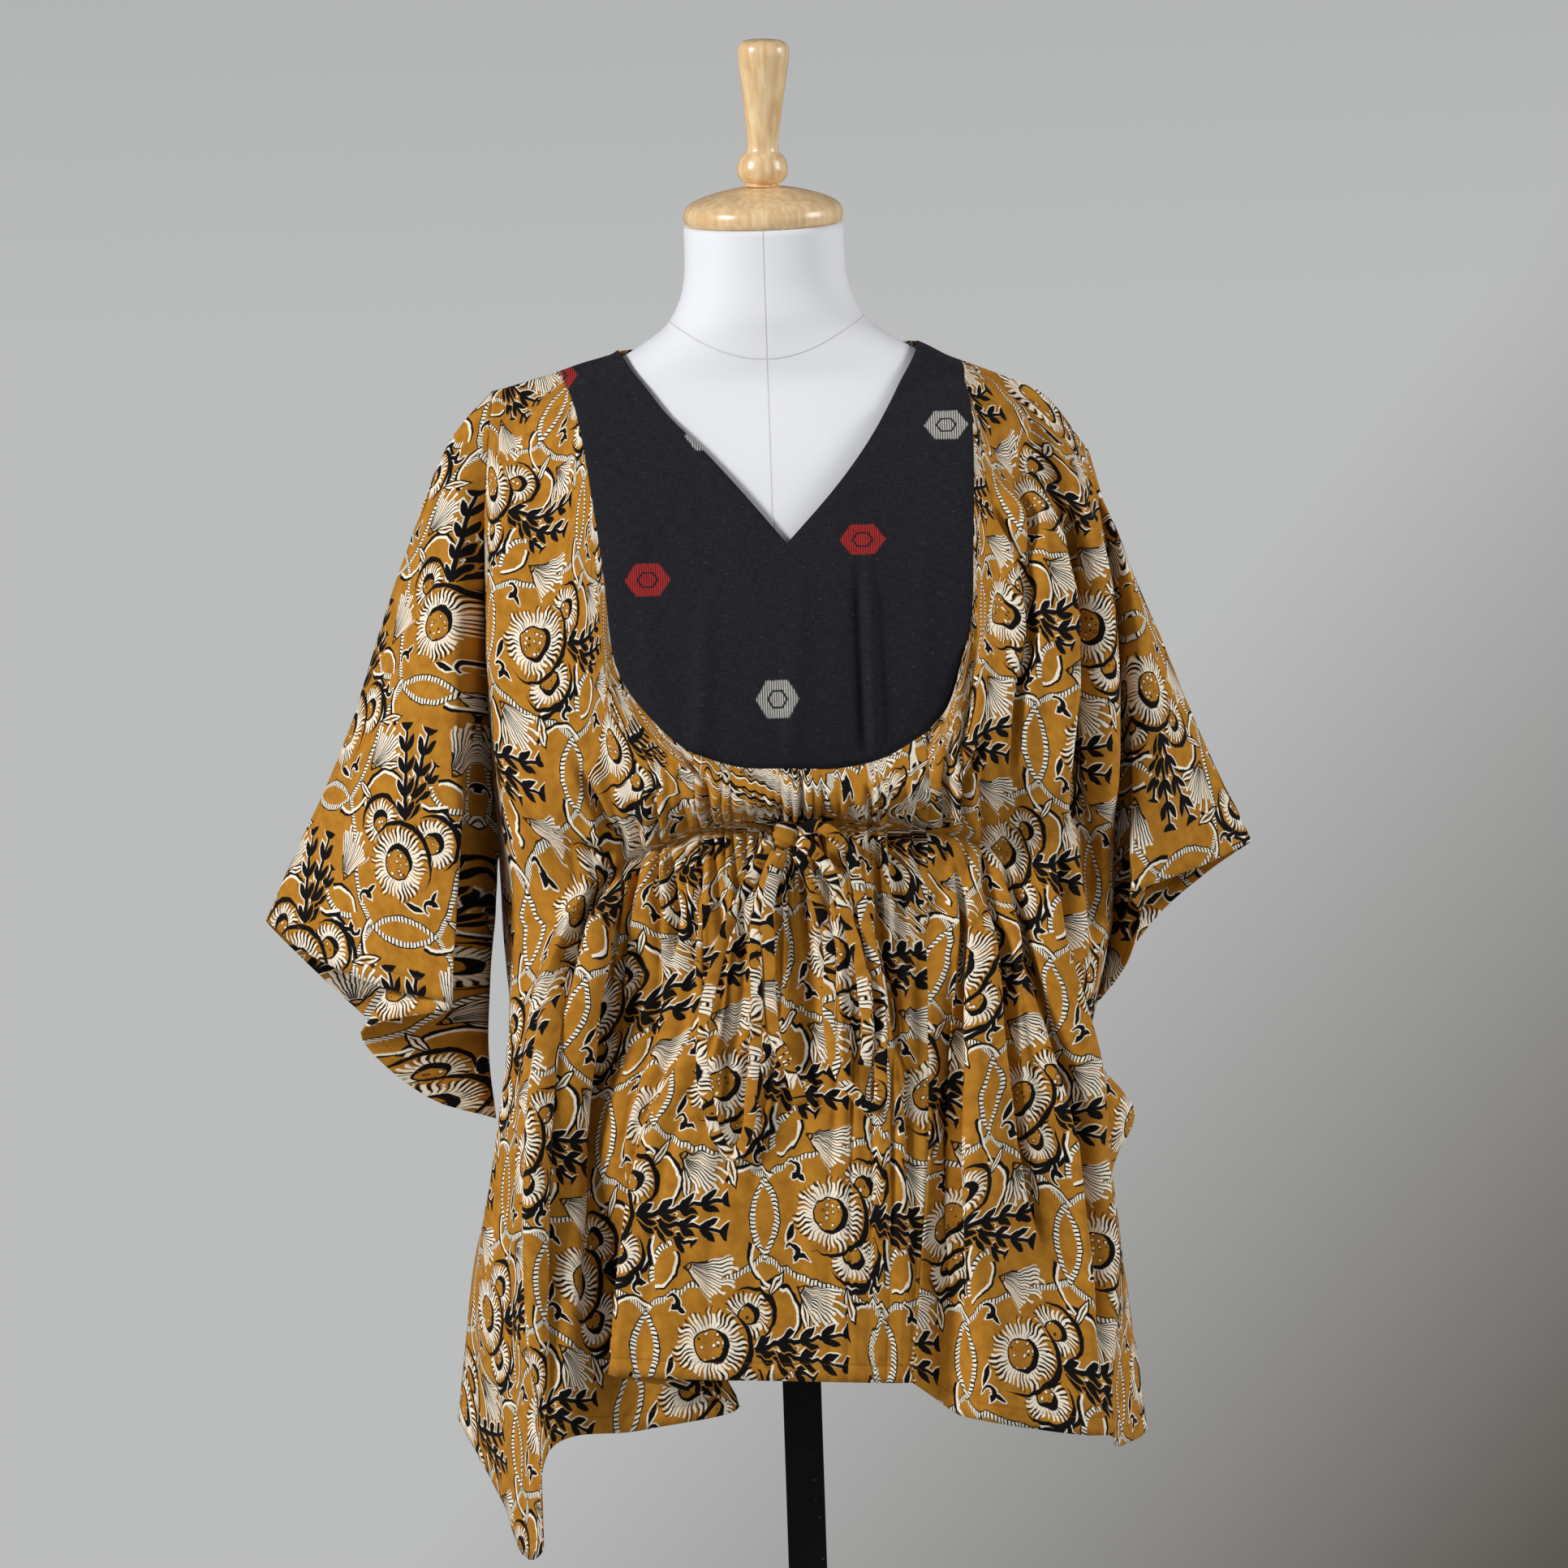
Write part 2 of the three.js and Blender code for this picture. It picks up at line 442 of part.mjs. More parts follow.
// Pieces that meet along a seam share one direction of thickness there.
function shareSeams() {
  const sums = new Map();
  const onEdge = (grid, i, j) => i === 0 || j === 0 || i === grid.length - 1 || j === grid[0].length - 1;
  Object.entries(grids).forEach(([name, grid]) => grid.forEach((column, i) => column.forEach((p, j) => {
    if (!onEdge(grid, i, j)) return;
    const k = key(p);
    if (!sums.has(k)) sums.set(k, new THREE.Vector3());
    sums.get(k).add(normals[name][i][j]);
  })));
  Object.entries(grids).forEach(([name, grid]) => grid.forEach((column, i) => column.forEach((p, j) => {
    const sum = onEdge(grid, i, j) && sums.get(key(p));
    if (sum && sum.length() > 0.2) normals[name][i][j] = sum.clone().normalize();
  })));
}
shareSeams();
SLEEVES.forEach((name) => normals[name].forEach((column, i, all) => {
  if (grids[name][i].half) column[0] = all[i - 1][0].clone().add(all[i + 1][0]).normalize();
}));

function inset(p, n, along, toward) {
  const side = along.clone().cross(n).normalize();
  const dir = toward.clone().sub(p);
  return side.multiplyScalar(Math.sign(side.dot(dir) || 1) * (SEAM_GAP / 2));
}

function shell(grid, normal) {
  const wide = grid.length;
  const tall = grid[0].length;
  const position = [];
  const index = [];
  const place = (i, j, layer) => (layer * wide + i) * tall + j;
  [1, -1].forEach((face) => grid.forEach((column, i) => column.forEach((p, j) => {
    const n = normal[i][j];
    const q = p.clone().addScaledVector(n, (face * CLOTH) / 2);
    if (i === 0 || i === wide - 1) {
      const along = column[Math.min(j + 1, tall - 1)].clone().sub(column[Math.max(j - 1, 0)]);
      q.add(inset(p, n, along, grid[i === 0 ? 1 : wide - 2][j]));
    }
    if (j === 0 || j === tall - 1) {
      const along = grid[Math.min(i + 1, wide - 1)][j].clone().sub(grid[Math.max(i - 1, 0)][j]);
      q.add(inset(p, n, along, column[j === 0 ? 1 : tall - 2]));
    }
    position.push(q.x, q.y, q.z);
  })));
  const quad = (a, b, c, d) => index.push(a, b, c, a, c, d);
  for (let i = 0; i + 1 < wide; i += 1) {
    for (let j = 0; j + 1 < tall; j += 1) {
      quad(place(i, j, 0), place(i, j + 1, 0), place(i + 1, j + 1, 0), place(i + 1, j, 0));
      quad(place(i, j, 1), place(i + 1, j, 1), place(i + 1, j + 1, 1), place(i, j + 1, 1));
    }
    quad(place(i, 0, 0), place(i + 1, 0, 0), place(i + 1, 0, 1), place(i, 0, 1));
    quad(place(i, tall - 1, 0), place(i, tall - 1, 1), place(i + 1, tall - 1, 1), place(i + 1, tall - 1, 0));
  }
  for (let j = 0; j + 1 < tall; j += 1) {
    quad(place(0, j, 0), place(0, j, 1), place(0, j + 1, 1), place(0, j + 1, 0));
    quad(place(wide - 1, j, 0), place(wide - 1, j + 1, 0), place(wide - 1, j + 1, 1), place(wide - 1, j, 1));
  }
  const geometry = new THREE.BufferGeometry();
  geometry.setAttribute('position', new THREE.Float32BufferAttribute(position, 3));
  geometry.setIndex(index);
  geometry.computeVertexNormals();
  return geometry;
}

// ---- ties: flat tubes of the same cloth that hang in front of the centre piece --------------------

// The height of the cloth's outer face towards the front at a place seen from the front.
function frontFace(x, z) {
  let best = 0;
  ['front_left', 'front_centre', 'front_right'].forEach((name) => {
    const grid = grids[name];
    for (let i = 0; i + 1 < grid.length; i += 1) {
      for (let j = 0; j + 1 < grid[0].length; j += 1) {
        const [a, b, c, d] = [grid[i][j], grid[i][j + 1], grid[i + 1][j + 1], grid[i + 1][j]];
        [[a, b, c], [a, c, d]].forEach(([p, q, r]) => {
          const area = (q.x - p.x) * (r.z - p.z) - (r.x - p.x) * (q.z - p.z);
          const wq = ((x - p.x) * (r.z - p.z) - (r.x - p.x) * (z - p.z)) / area;
          const wr = ((q.x - p.x) * (z - p.z) - (x - p.x) * (q.z - p.z)) / area;
          if (wq < -1e-6 || wr < -1e-6 || wq + wr > 1 + 1e-6) return;
          best = Math.min(best, p.y + wq * (q.y - p.y) + wr * (r.y - p.y));
        });
      }
    }
  });
  return best - CLOTH / 2;
}

function tie(path, layer) {
  const flat = path.map(([x, z]) => new THREE.Vector3(x, 0, z));
  const count = path.length - 1;
  const mid = Array.from({ length: count + 1 }, (_, k) => spline(flat, (k / count) * (path.length - 1)));
  const depth = mid.map((p) => {
    const reach = [-5, 0, 5].flatMap((dx) => [-7, 0, 7].map((dz) => frontFace(p.x + dx, p.z + dz)));
    return Math.min(...reach);
  });
  const hang = depth.map((y, k) => {
    const near = [k - 1, k, k + 1].map((m) => depth[THREE.MathUtils.clamp(m, 0, count)]);
    return Math.min(...near) - TIE.lift - TIE.wall / 2 - layer * TIE.layer;
  });
  mid.forEach((p, k) => {
    p.y = hang[k];
  });
  const position = [];
  const index = [];
  mid.forEach((p, k) => {
    const along = mid[Math.min(k + 1, count)].clone().sub(mid[Math.max(k - 1, 0)]).normalize();
    const side = along.clone().cross(new THREE.Vector3(0, -1, 0)).normalize();
    const out = side.clone().cross(along).normalize();
    const w = TIE.width / 2;
    const h = TIE.wall / 2;
    [[-w, -h * 0.4], [-w * 0.7, -h], [w * 0.7, -h], [w, -h * 0.4], [w, h * 0.4], [w * 0.7, h], [-w * 0.7, h],
      [-w, h * 0.4]].forEach(([s, o]) => {
      const q = p.clone().addScaledVector(side, s).addScaledVector(out, o);
      position.push(q.x, q.y, q.z);
    });
  });
  const ring = 8;
  for (let k = 0; k < count; k += 1) {
    for (let m = 0; m < ring; m += 1) {
      const a = k * ring + m;
      const b = k * ring + ((m + 1) % ring);
      index.push(a, b + ring, b, a, a + ring, b + ring);
    }
  }
  for (let m = 1; m + 1 < ring; m += 1) {
    index.push(0, m, m + 1);
    index.push(count * ring, count * ring + m + 1, count * ring + m);
  }
  const geometry = new THREE.BufferGeometry();
  geometry.setAttribute('position', new THREE.Float32BufferAttribute(position, 3));
  geometry.setIndex(index);
  geometry.computeVertexNormals();
  return geometry;
}

function knotGeometry() {
  const geometry = new THREE.SphereGeometry(0.5, 12, 8);
  const at = geometry.attributes.position;
  for (let i = 0; i < at.count; i += 1) {
    const p = new THREE.Vector3().fromBufferAttribute(at, i);
    const boxy = (v) => Math.sign(v) * Math.abs(2 * v) ** 0.72 * 0.5;
    p.set(boxy(p.x) * KNOT.width, boxy(p.y) * KNOT.depth, boxy(p.z) * KNOT.height);
    at.setXYZ(i, p.x, p.y, p.z);
  }
  return geometry;
}

// ---- form ------------------------------------------------------------------------------------------

function torsoGeometry() {
  const position = [];
  const index = [];
  const top = NECK_TOP.z;
  for (let k = 0; k <= FORM_RINGS; k += 1) {
    const share = k / FORM_RINGS;
    const z = FORM_BOTTOM + (top - FORM_BOTTOM) * share;
    const s = sectionAt(z);
    const lean = THREE.MathUtils.smoothstep(z, 1400, top) * Math.tan(NECK_TOP.tilt);
    for (let m = 0; m < FORM_SIDES; m += 1) {
      const a = (m / FORM_SIDES) * 2 * Math.PI;
      const c = Math.cos(a);
      const d = Math.sin(a);
      const x = s.w * Math.sign(c) * Math.abs(c) ** (2 / s.power);
      const y = s.y + (d < 0 ? s.front : s.back) * Math.sign(d) * Math.abs(d) ** (2 / s.power);
      position.push(x, y, z + (y - s.y) * lean);
    }
  }
  const n = FORM_SIDES;
  for (let k = 0; k < FORM_RINGS; k += 1) {
    for (let m = 0; m < n; m += 1) {
      const a = k * n + m;
      const b = k * n + ((m + 1) % n);
      index.push(a, b, b + n, a, b + n, a + n);
    }
  }
  const last = FORM_RINGS * n;
  for (let m = 1; m + 1 < n; m += 1) {
    index.push(0, m + 1, m);
    index.push(last, last + m, last + m + 1);
  }
  const geometry = new THREE.BufferGeometry();
  geometry.setAttribute('position', new THREE.Float32BufferAttribute(position, 3));
  geometry.setIndex(index);
  geometry.computeVertexNormals();
  return geometry;
}

function lathe(profile, sides = 36) {
  const geometry = new THREE.LatheGeometry(profile.map(([r, z]) => new THREE.Vector2(r, z)), sides);
  geometry.rotateX(Math.PI / 2);
  return geometry;
}

const CAP_PROFILE = [[0, 0.3], [53, 0.3], [55.5, 3], [56, 8], [54, 13], [46, 18], [30, 23], [14, 26], [0, 26]];
const FINIAL_PROFILE = [[0, 26.3], [12, 26.3], [12.5, 27], [11, 28], [14.5, 30], [17.4, 34.5], [17.8, 39],
  [15.5, 46.5], [11.5, 51], [10.8, 55], [11.6, 64], [13.4, 80], [15.6, 98], [17.4, 112], [18, 120], [16.6, 125.5],
  [12, 128.4], [0, 129.2]];

function post() {
  const h = POST.side / 2;
  const c = POST.chamfer;
  const outline = new THREE.Shape([[-h + c, -h], [h - c, -h], [h, -h + c], [h, h - c], [h - c, h], [-h + c, h],
    [-h, h - c], [-h, -h + c]].map(([x, y]) => new THREE.Vector2(x, y)));
  const depth = FORM_BOTTOM - 0.3 - (POST.bottom + 0.3);
  const geometry = new THREE.ExtrudeGeometry(outline, { depth, bevelEnabled: false, steps: 1 });
  geometry.translate(0, 0, POST.bottom + 0.3);
  return geometry;
}

const BASE_PROFILE = [[0, 0], [BASE.radius - 1, 0], [BASE.radius, 1], [BASE.radius, BASE.height - BASE.lip],
  [BASE.radius - BASE.lip, BASE.height], [0, BASE.height]];

// ---- assembly --------------------------------------------------------------------------------------

function material(color, roughness, metalness = 0) {
  return new THREE.MeshStandardMaterial({ color, roughness, metalness, flatShading: true });
}

function piece(name, geometry, finish) {
  const mesh = new THREE.Mesh(geometry, finish);
  mesh.name = name;
  return mesh;
}

const printed = material(OCHRE, 0.85);
const printedSleeve = material(PRINT_SHADE, 0.85);
const handloom = material(BLACK_CLOTH, 0.9);
const covered = material(FORM_WHITE, 0.8);
const wood = material(WOOD, 0.45);
const paint = material(BLACK_PAINT, 0.5);

const kaftan = new THREE.Group();
const cloths = { yoke: handloom, sleeve_left: printedSleeve, sleeve_right: printedSleeve };
Object.keys(grids).forEach((name) => {
  kaftan.add(piece(name, shell(grids[name], normals[name]), cloths[name] ?? printed));
});

const ties = new THREE.Group();
ties.add(piece('tie_loop_left', tie(TIE_LOOP_LEFT, 0), printed));
ties.add(piece('tie_end_left', tie(TIE_END_LEFT, 1), printed));
ties.add(piece('tie_loop_right', tie(TIE_LOOP_RIGHT, 0), printed));
ties.add(piece('tie_end_right', tie(TIE_END_RIGHT, 1), printed));
const knot = piece('tie_knot', knotGeometry(), printed);
knot.position.set(KNOT.x, frontFace(KNOT.x, KNOT.z) - KNOT.depth / 2 - KNOT.gap, KNOT.z);
ties.add(knot);

const form = new THREE.Group();
form.add(piece('form_torso', torsoGeometry(), covered));
const crown = new THREE.Group();
crown.position.set(0, NECK_TOP.y, NECK_TOP.z);
crown.rotation.x = NECK_TOP.tilt;
crown.add(piece('form_cap', lathe(CAP_PROFILE), wood));
const finial = piece('form_finial', lathe(FINIAL_PROFILE, 28), wood);
finial.geometry.translate(0, 0, -FINIAL_PROFILE[0][1]);
finial.position.z = FINIAL_PROFILE[0][1] + 0.3;
finial.rotation.y = KNOB_LEAN;
crown.add(finial);
form.add(crown);
form.add(piece('form_pole', post(), paint));
form.add(piece('form_base', lathe(BASE_PROFILE, 48), paint));

const part = new THREE.Group();
part.name = 'kaftan_on_dress_form';
part.add(kaftan, ties, form);

export default part;
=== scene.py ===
"""A short kaftan of block-printed cotton with a black handloom yoke, shown on a limbless dress form.

The row frame is in metres: +X to the viewer's right, +Y behind the wearer, +Z up, with the origin in the
middle of the base's underside. The garment is drawn from its fold lines, in millimetres.
"""

import sys

import logging
import math
from collections.abc import Iterable, Sequence
from dataclasses import dataclass, field
from enum import Enum

import bpy
import numpy as np
from mathutils import Matrix, Vector


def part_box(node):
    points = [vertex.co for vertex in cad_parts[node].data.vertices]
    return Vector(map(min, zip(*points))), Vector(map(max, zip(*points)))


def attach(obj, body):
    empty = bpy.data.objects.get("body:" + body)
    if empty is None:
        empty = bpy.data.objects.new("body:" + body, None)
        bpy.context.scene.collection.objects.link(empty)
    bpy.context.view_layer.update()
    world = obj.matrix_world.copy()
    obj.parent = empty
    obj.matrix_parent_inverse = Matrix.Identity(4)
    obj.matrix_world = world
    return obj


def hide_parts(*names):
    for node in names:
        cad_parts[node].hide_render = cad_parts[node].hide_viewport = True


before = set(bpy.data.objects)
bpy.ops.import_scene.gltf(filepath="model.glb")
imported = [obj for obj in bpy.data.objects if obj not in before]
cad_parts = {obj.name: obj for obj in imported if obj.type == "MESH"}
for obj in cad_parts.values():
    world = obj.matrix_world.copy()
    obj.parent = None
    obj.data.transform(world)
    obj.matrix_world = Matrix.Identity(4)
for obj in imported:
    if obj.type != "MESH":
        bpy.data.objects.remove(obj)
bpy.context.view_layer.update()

log = logging.getLogger("kaftan")

MM = 0.001
Point = tuple[float, float, float]
Colour = tuple[float, float, float, float]

# ---- the garment's measurements -----------------------------------------------------------------------

# How far the smooth cloth stays from the form, and how near its valleys may come.
REST = 4.9
NEAREST = 2.2
# Coarse facets between a fold line's seven stations, and the station of the underarm.
STEPS = (5, 2, 2, 3, 3, 3)
UNDERARM = 3
FORM_BOTTOM = 742.0
NECK_TOP = (0.0, -8.0, 1466.0)
NECK_TILT = math.radians(8)
KNOB_LEAN = math.radians(2.4)
# The height of the casing and of the neck's edge, and how far the gathers' middle is to the right.
CASING_HEIGHT = 1036
NECK_EDGE = 1376
CASING_MIDDLE = 18


@dataclass(frozen=True)
class Fold:
    """One fold line of a cut piece, from its top edge down to its hem.

    Attributes:
        facets: how many coarse facets lie between this line and the next.
        points: the line's points at the top, bust, blouse, waist, skirt, low and hem stations.
        side: whether the line is a side seam, which turns at the underarm.
    """

    facets: int
    points: tuple[Point, ...]
    side: bool = False


@dataclass(frozen=True)
class SleeveFold:
    """One fold line of a sleeve, from the armhole out to the cuff.

    Attributes:
        at: the place on the armhole, counted in stations, below 0 on the back half.
        points: the line's points near, mid, far and at the cuff.
    """

    at: float
    points: tuple[Point, ...]


@dataclass(frozen=True)
class Swell:
    """A soft push in the cloth, in millimetres.

    Attributes:
        at: its middle.
        reach: the distance in which it fades.
        push: how far and which way it moves the cloth.
        pieces: the pieces that it moves; with none named it moves them all.
    """

    at: Point
    reach: float
    push: Point
    pieces: tuple[str, ...] = ()


@dataclass(frozen=True)
class Section:
    """One level of the dress form: height, half width, depth in front and behind, middle and squareness."""

    z: float
    w: float
    front: float
    back: float
    y: float
    power: float


# ---- fold lines, in millimetres: the viewer's left is -x ---------------------------------------------------

SIDE_LEFT_FRONT = Fold(2, ((-194, 5, 1355), (-201, -38, 1268), (-203, -46, 1150), (-200, -14, 1030),
    (-192, -8, 884), (-227, -6, 733), (-240, -8, 635)), side=True)
SIDE_LEFT_BACK = Fold(2, ((-194, 5, 1355), (-203, 40, 1262), (-205, 46, 1140), (-200, -14, 1030),
    (-192, -8, 884), (-227, -6, 733), (-240, -8, 635)), side=True)
SEAM_LEFT = Fold(3, ((-60, -134, 1096), (-60, -138, 1084), (-59, -139, 1068), (-58, -116, 1043),
    (-60, -126, 928), (-105, -148, 827), (-130, -152, 673)))
SEAM_RIGHT = Fold(2, ((100, -129, 1106), (101, -133, 1090), (101, -136, 1070), (99, -112, 1038),
    (93, -128, 900), (88, -146, 791), (76, -153, 661)))
SIDE_RIGHT_FRONT = Fold(2, ((222, 5, 1301), (234, -28, 1220), (238, -40, 1110), (230, -10, 1008),
    (203, -8, 888), (225, -6, 743), (241, -18, 612)), side=True)
SIDE_RIGHT_BACK = Fold(2, ((222, 5, 1301), (234, 36, 1216), (238, 44, 1105), (230, -10, 1008),
    (203, -8, 888), (225, -6, 743), (241, -18, 612)), side=True)
FRONT_LEFT = (
    SIDE_LEFT_FRONT,
    Fold(2, ((-170, 5, 1361), (-191, -80, 1222), (-195, -90, 1098), (-187, -80, 1004), (-196, -78, 895),
        (-216, -72, 757), (-212, -66, 583))),
    Fold(4, ((-146, 5, 1368), (-170, -94, 1216), (-176, -106, 1092), (-168, -96, 1002), (-182, -112, 902),
        (-200, -110, 773), (-195, -100, 546))),
    Fold(2, ((-133, -70, 1330), (-148, -108, 1194), (-154, -114, 1086), (-146, -96, 1006),
        (-168, -130, 908), (-184, -136, 787), (-183, -132, 552))),
    Fold(2, ((-119, -112, 1231), (-127, -122, 1158), (-130, -118, 1086), (-124, -94, 1012),
        (-154, -136, 920), (-167, -150, 807), (-173, -150, 625))),
    Fold(3, ((-110, -122, 1155), (-113, -127, 1122), (-112, -121, 1076), (-108, -92, 1024),
        (-130, -96, 920), (-148, -112, 817), (-112, -122, 632))),
    Fold(2, ((-82, -130, 1115), (-84, -135, 1096), (-85, -136, 1070), (-84, -106, 1034), (-92, -114, 924),
        (-116, -134, 823), (-44, -138, 647))),
    SEAM_LEFT,
)
FRONT_CENTRE = (
    SEAM_LEFT,
    Fold(3, ((-28, -137, 1087), (-29, -141, 1076), (-30, -144, 1063), (-30, -122, 1047), (-30, -134, 925),
        (-62, -158, 820), (-76, -162, 669))),
    Fold(3, ((5, -138, 1085), (5, -141, 1075), (5, -142, 1064), (4, -120, 1049), (4, -132, 922),
        (-10, -156, 813), (-14, -162, 666))),
    Fold(3, ((38, -137, 1084), (38, -141, 1074), (39, -143, 1063), (38, -121, 1047), (40, -138, 915),
        (34, -160, 805), (28, -166, 664))),
    Fold(2, ((70, -134, 1090), (71, -138, 1079), (72, -141, 1066), (70, -117, 1043), (68, -130, 908),
        (63, -152, 797), (54, -158, 662))),
    SEAM_RIGHT,
)
FRONT_RIGHT = (
    SEAM_RIGHT,
    Fold(2, ((117, -124, 1125), (119, -129, 1106), (120, -131, 1077), (120, -104, 1034), (112, -116, 896),
        (105, -130, 785), (104, -138, 639))),
    Fold(2, ((133, -116, 1175), (136, -124, 1142), (138, -126, 1086), (140, -94, 1026), (128, -128, 893),
        (123, -150, 777), (127, -156, 633))),
    Fold(2, ((138, -104, 1243), (153, -116, 1178), (158, -120, 1090), (160, -88, 1020), (156, -112, 888),
        (156, -130, 769), (162, -142, 625))),
    Fold(4, ((140, -66, 1330), (174, -104, 1196), (178, -114, 1090), (180, -94, 1012), (182, -108, 884),
        (188, -122, 757), (194, -140, 620))),
    Fold(2, ((131, 5, 1368), (192, -86, 1222), (196, -104, 1096), (196, -84, 1010), (199, -92, 880),
        (209, -112, 747), (212, -126, 618))),
    Fold(2, ((161, 5, 1356), (208, -56, 1230), (211, -62, 1102), (211, -50, 1004), (203, -64, 884),
        (214, -74, 743), (217, -86, 607))),
    Fold(2, ((192, 5, 1341), (220, -64, 1232), (223, -80, 1104), (222, -56, 1000), (206, -38, 886),
        (224, -40, 743), (232, -50, 609))),
    SIDE_RIGHT_FRONT,
)
BACK = (
    SIDE_RIGHT_BACK,
    Fold(2, ((192, 5, 1341), (212, 72, 1226), (212, 84, 1100), (200, 56, 1010), (196, 54, 888),
        (218, 62, 744), (230, 46, 622))),
    Fold(2, ((161, 5, 1356), (190, 90, 1222), (188, 98, 1098), (174, 74, 1016), (176, 92, 888),
        (196, 106, 750), (206, 102, 634))),
    Fold(4, ((131, 5, 1368), (160, 102, 1216), (156, 104, 1094), (138, 78, 1026), (146, 110, 888),
        (160, 134, 756), (168, 138, 642))),
    Fold(4, ((103, 5, 1378), (112, 112, 1208), (108, 108, 1088), (92, 84, 1036), (104, 116, 888),
        (112, 140, 760), (116, 150, 646))),
    Fold(3, ((72, 52, 1384), (58, 117, 1200), (56, 112, 1084), (48, 90, 1042), (54, 128, 888),
        (56, 146, 762), (58, 154, 648))),
    Fold(3, ((0, 70, 1379), (0, 120, 1196), (0, 118, 1082), (0, 94, 1044), (0, 122, 888), (-2, 140, 764),
        (-4, 146, 650))),
    Fold(4, ((-72, 52, 1385), (-60, 117, 1200), (-58, 113, 1084), (-50, 89, 1042), (-56, 130, 888),
        (-62, 150, 762), (-66, 158, 648))),
    Fold(4, ((-105, 5, 1380), (-114, 112, 1208), (-110, 108, 1088), (-96, 82, 1034), (-110, 114, 888),
        (-122, 138, 760), (-130, 148, 646))),
    Fold(2, ((-146, 5, 1368), (-166, 96, 1218), (-160, 98, 1094), (-146, 72, 1024), (-158, 100, 888),
        (-184, 118, 754), (-190, 120, 640))),
    Fold(2, ((-170, 5, 1361), (-188, 78, 1226), (-186, 80, 1100), (-176, 50, 1020), (-182, 58, 890),
        (-214, 66, 744), (-220, 64, 630))),
    SIDE_LEFT_BACK,
)
NECK_LEFT = ((-105, 5, 1380), (-93, -34, 1363), (-73, -66, 1335), (-45, -90, 1305), (-21, -106, 1277),
    (9, -118, 1240))
NECK_RIGHT = ((9, -118, 1240), (43, -108, 1277), (66, -90, 1307), (83, -66, 1335), (96, -34, 1361),
    (103, 5, 1378))
SLEEVE_LEFT = (
    SleeveFold(-3, ((-205, -6, 984), (-210, -12, 936), (-212, -18, 888), (-208, -22, 846))),
    SleeveFold(-2, ((-216, 44, 1080), (-226, 42, 1010), (-240, 36, 940), (-256, 26, 874))),
    SleeveFold(-1, ((-222, 52, 1200), (-244, 58, 1108), (-270, 54, 1004), (-300, 42, 918))),
    SleeveFold(-0.5, ((-222, 38, 1284), (-258, 46, 1186), (-298, 42, 1062), (-340, 30, 958))),
    SleeveFold(0, ((-229, 4, 1315), (-259, 2, 1240), (-304, 0, 1120), (-365, 0, 989))),
    SleeveFold(0.5, ((-222, -38, 1280), (-256, -50, 1186), (-294, -52, 1072), (-336, -40, 967))),
    SleeveFold(1, ((-222, -68, 1212), (-242, -82, 1126), (-262, -88, 1030), (-284, -76, 943))),
    SleeveFold(1.75, ((-217, -74, 1138), (-222, -92, 1076), (-227, -100, 1004), (-233, -98, 928))),
    SleeveFold(2.25, ((-212, -48, 1076), (-228, -54, 1022), (-262, -56, 968), (-299, -52, 910))),
    SleeveFold(2.75, ((-209, -28, 1024), (-218, -32, 974), (-238, -34, 918), (-255, -34, 863))),
    SleeveFold(3, ((-205, -6, 984), (-210, -12, 936), (-212, -18, 888), (-208, -22, 846))),
)
SLEEVE_RIGHT = (
    SleeveFold(3, ((233, -8, 984), (232, -6, 958), (226, -4, 930), (214, -4, 904))),
    SleeveFold(2.75, ((239, -26, 1022), (242, -28, 996), (243, -26, 966), (238, -22, 935))),
    SleeveFold(2.25, ((243, -36, 1058), (248, -40, 1030), (252, -40, 1001), (249, -36, 972))),
    SleeveFold(1.75, ((244, -52, 1118), (245, -66, 1080), (243, -74, 1036), (241, -76, 990))),
    SleeveFold(1, ((246, -50, 1176), (256, -64, 1118), (262, -68, 1060), (265, -66, 999))),
    SleeveFold(0.5, ((240, -30, 1240), (260, -42, 1166), (278, -46, 1084), (297, -40, 1009))),
    SleeveFold(0, ((237, 3, 1248), (260, 2, 1188), (288, 0, 1114), (328, 0, 1022))),
    SleeveFold(-0.5, ((239, 30, 1236), (258, 40, 1160), (276, 42, 1080), (300, 34, 1002))),
    SleeveFold(-1, ((242, 46, 1172), (250, 56, 1108), (256, 56, 1040), (266, 48, 974))),
    SleeveFold(-2, ((240, 38, 1062), (242, 42, 1026), (242, 40, 986), (240, 32, 944))),
    SleeveFold(-3, ((233, -8, 984), (232, -6, 958), (226, -4, 930), (214, -4, 904))),
)
TIE_LOOP_LEFT = ((-10.4, 1035.6), (-19, 1017), (-32, 995), (-43, 972), (-52, 942), (-58, 919), (-61, 897),
    (-61, 879), (-58, 858), (-52, 834), (-43, 822), (-36, 827), (-30, 844), (-28, 866), (-24, 896),
    (-22, 928), (-22, 959), (-20, 983), (-14, 1007), (-6, 1028))
TIE_END_LEFT = ((-1.5, 1029), (-9, 1007), (-13, 986), (-13, 954), (-13, 927), (-11, 902), (-4, 886),
    (2, 869), (6, 855))
TIE_LOOP_RIGHT = ((9.9, 1042.2), (24, 1045), (36, 1037), (46, 1023), (51, 996), (55, 972), (59, 948),
    (62, 924), (62, 899), (61, 875), (59, 854), (51, 852), (43, 861), (34, 872), (29, 889), (27, 910),
    (28, 936), (29, 958), (24, 986), (17, 1007), (9, 1028))
TIE_END_RIGHT = ((10.3, 1035.6), (27, 1020), (36, 996), (44, 972), (50, 944), (53, 911), (52, 890),
    (50, 880))
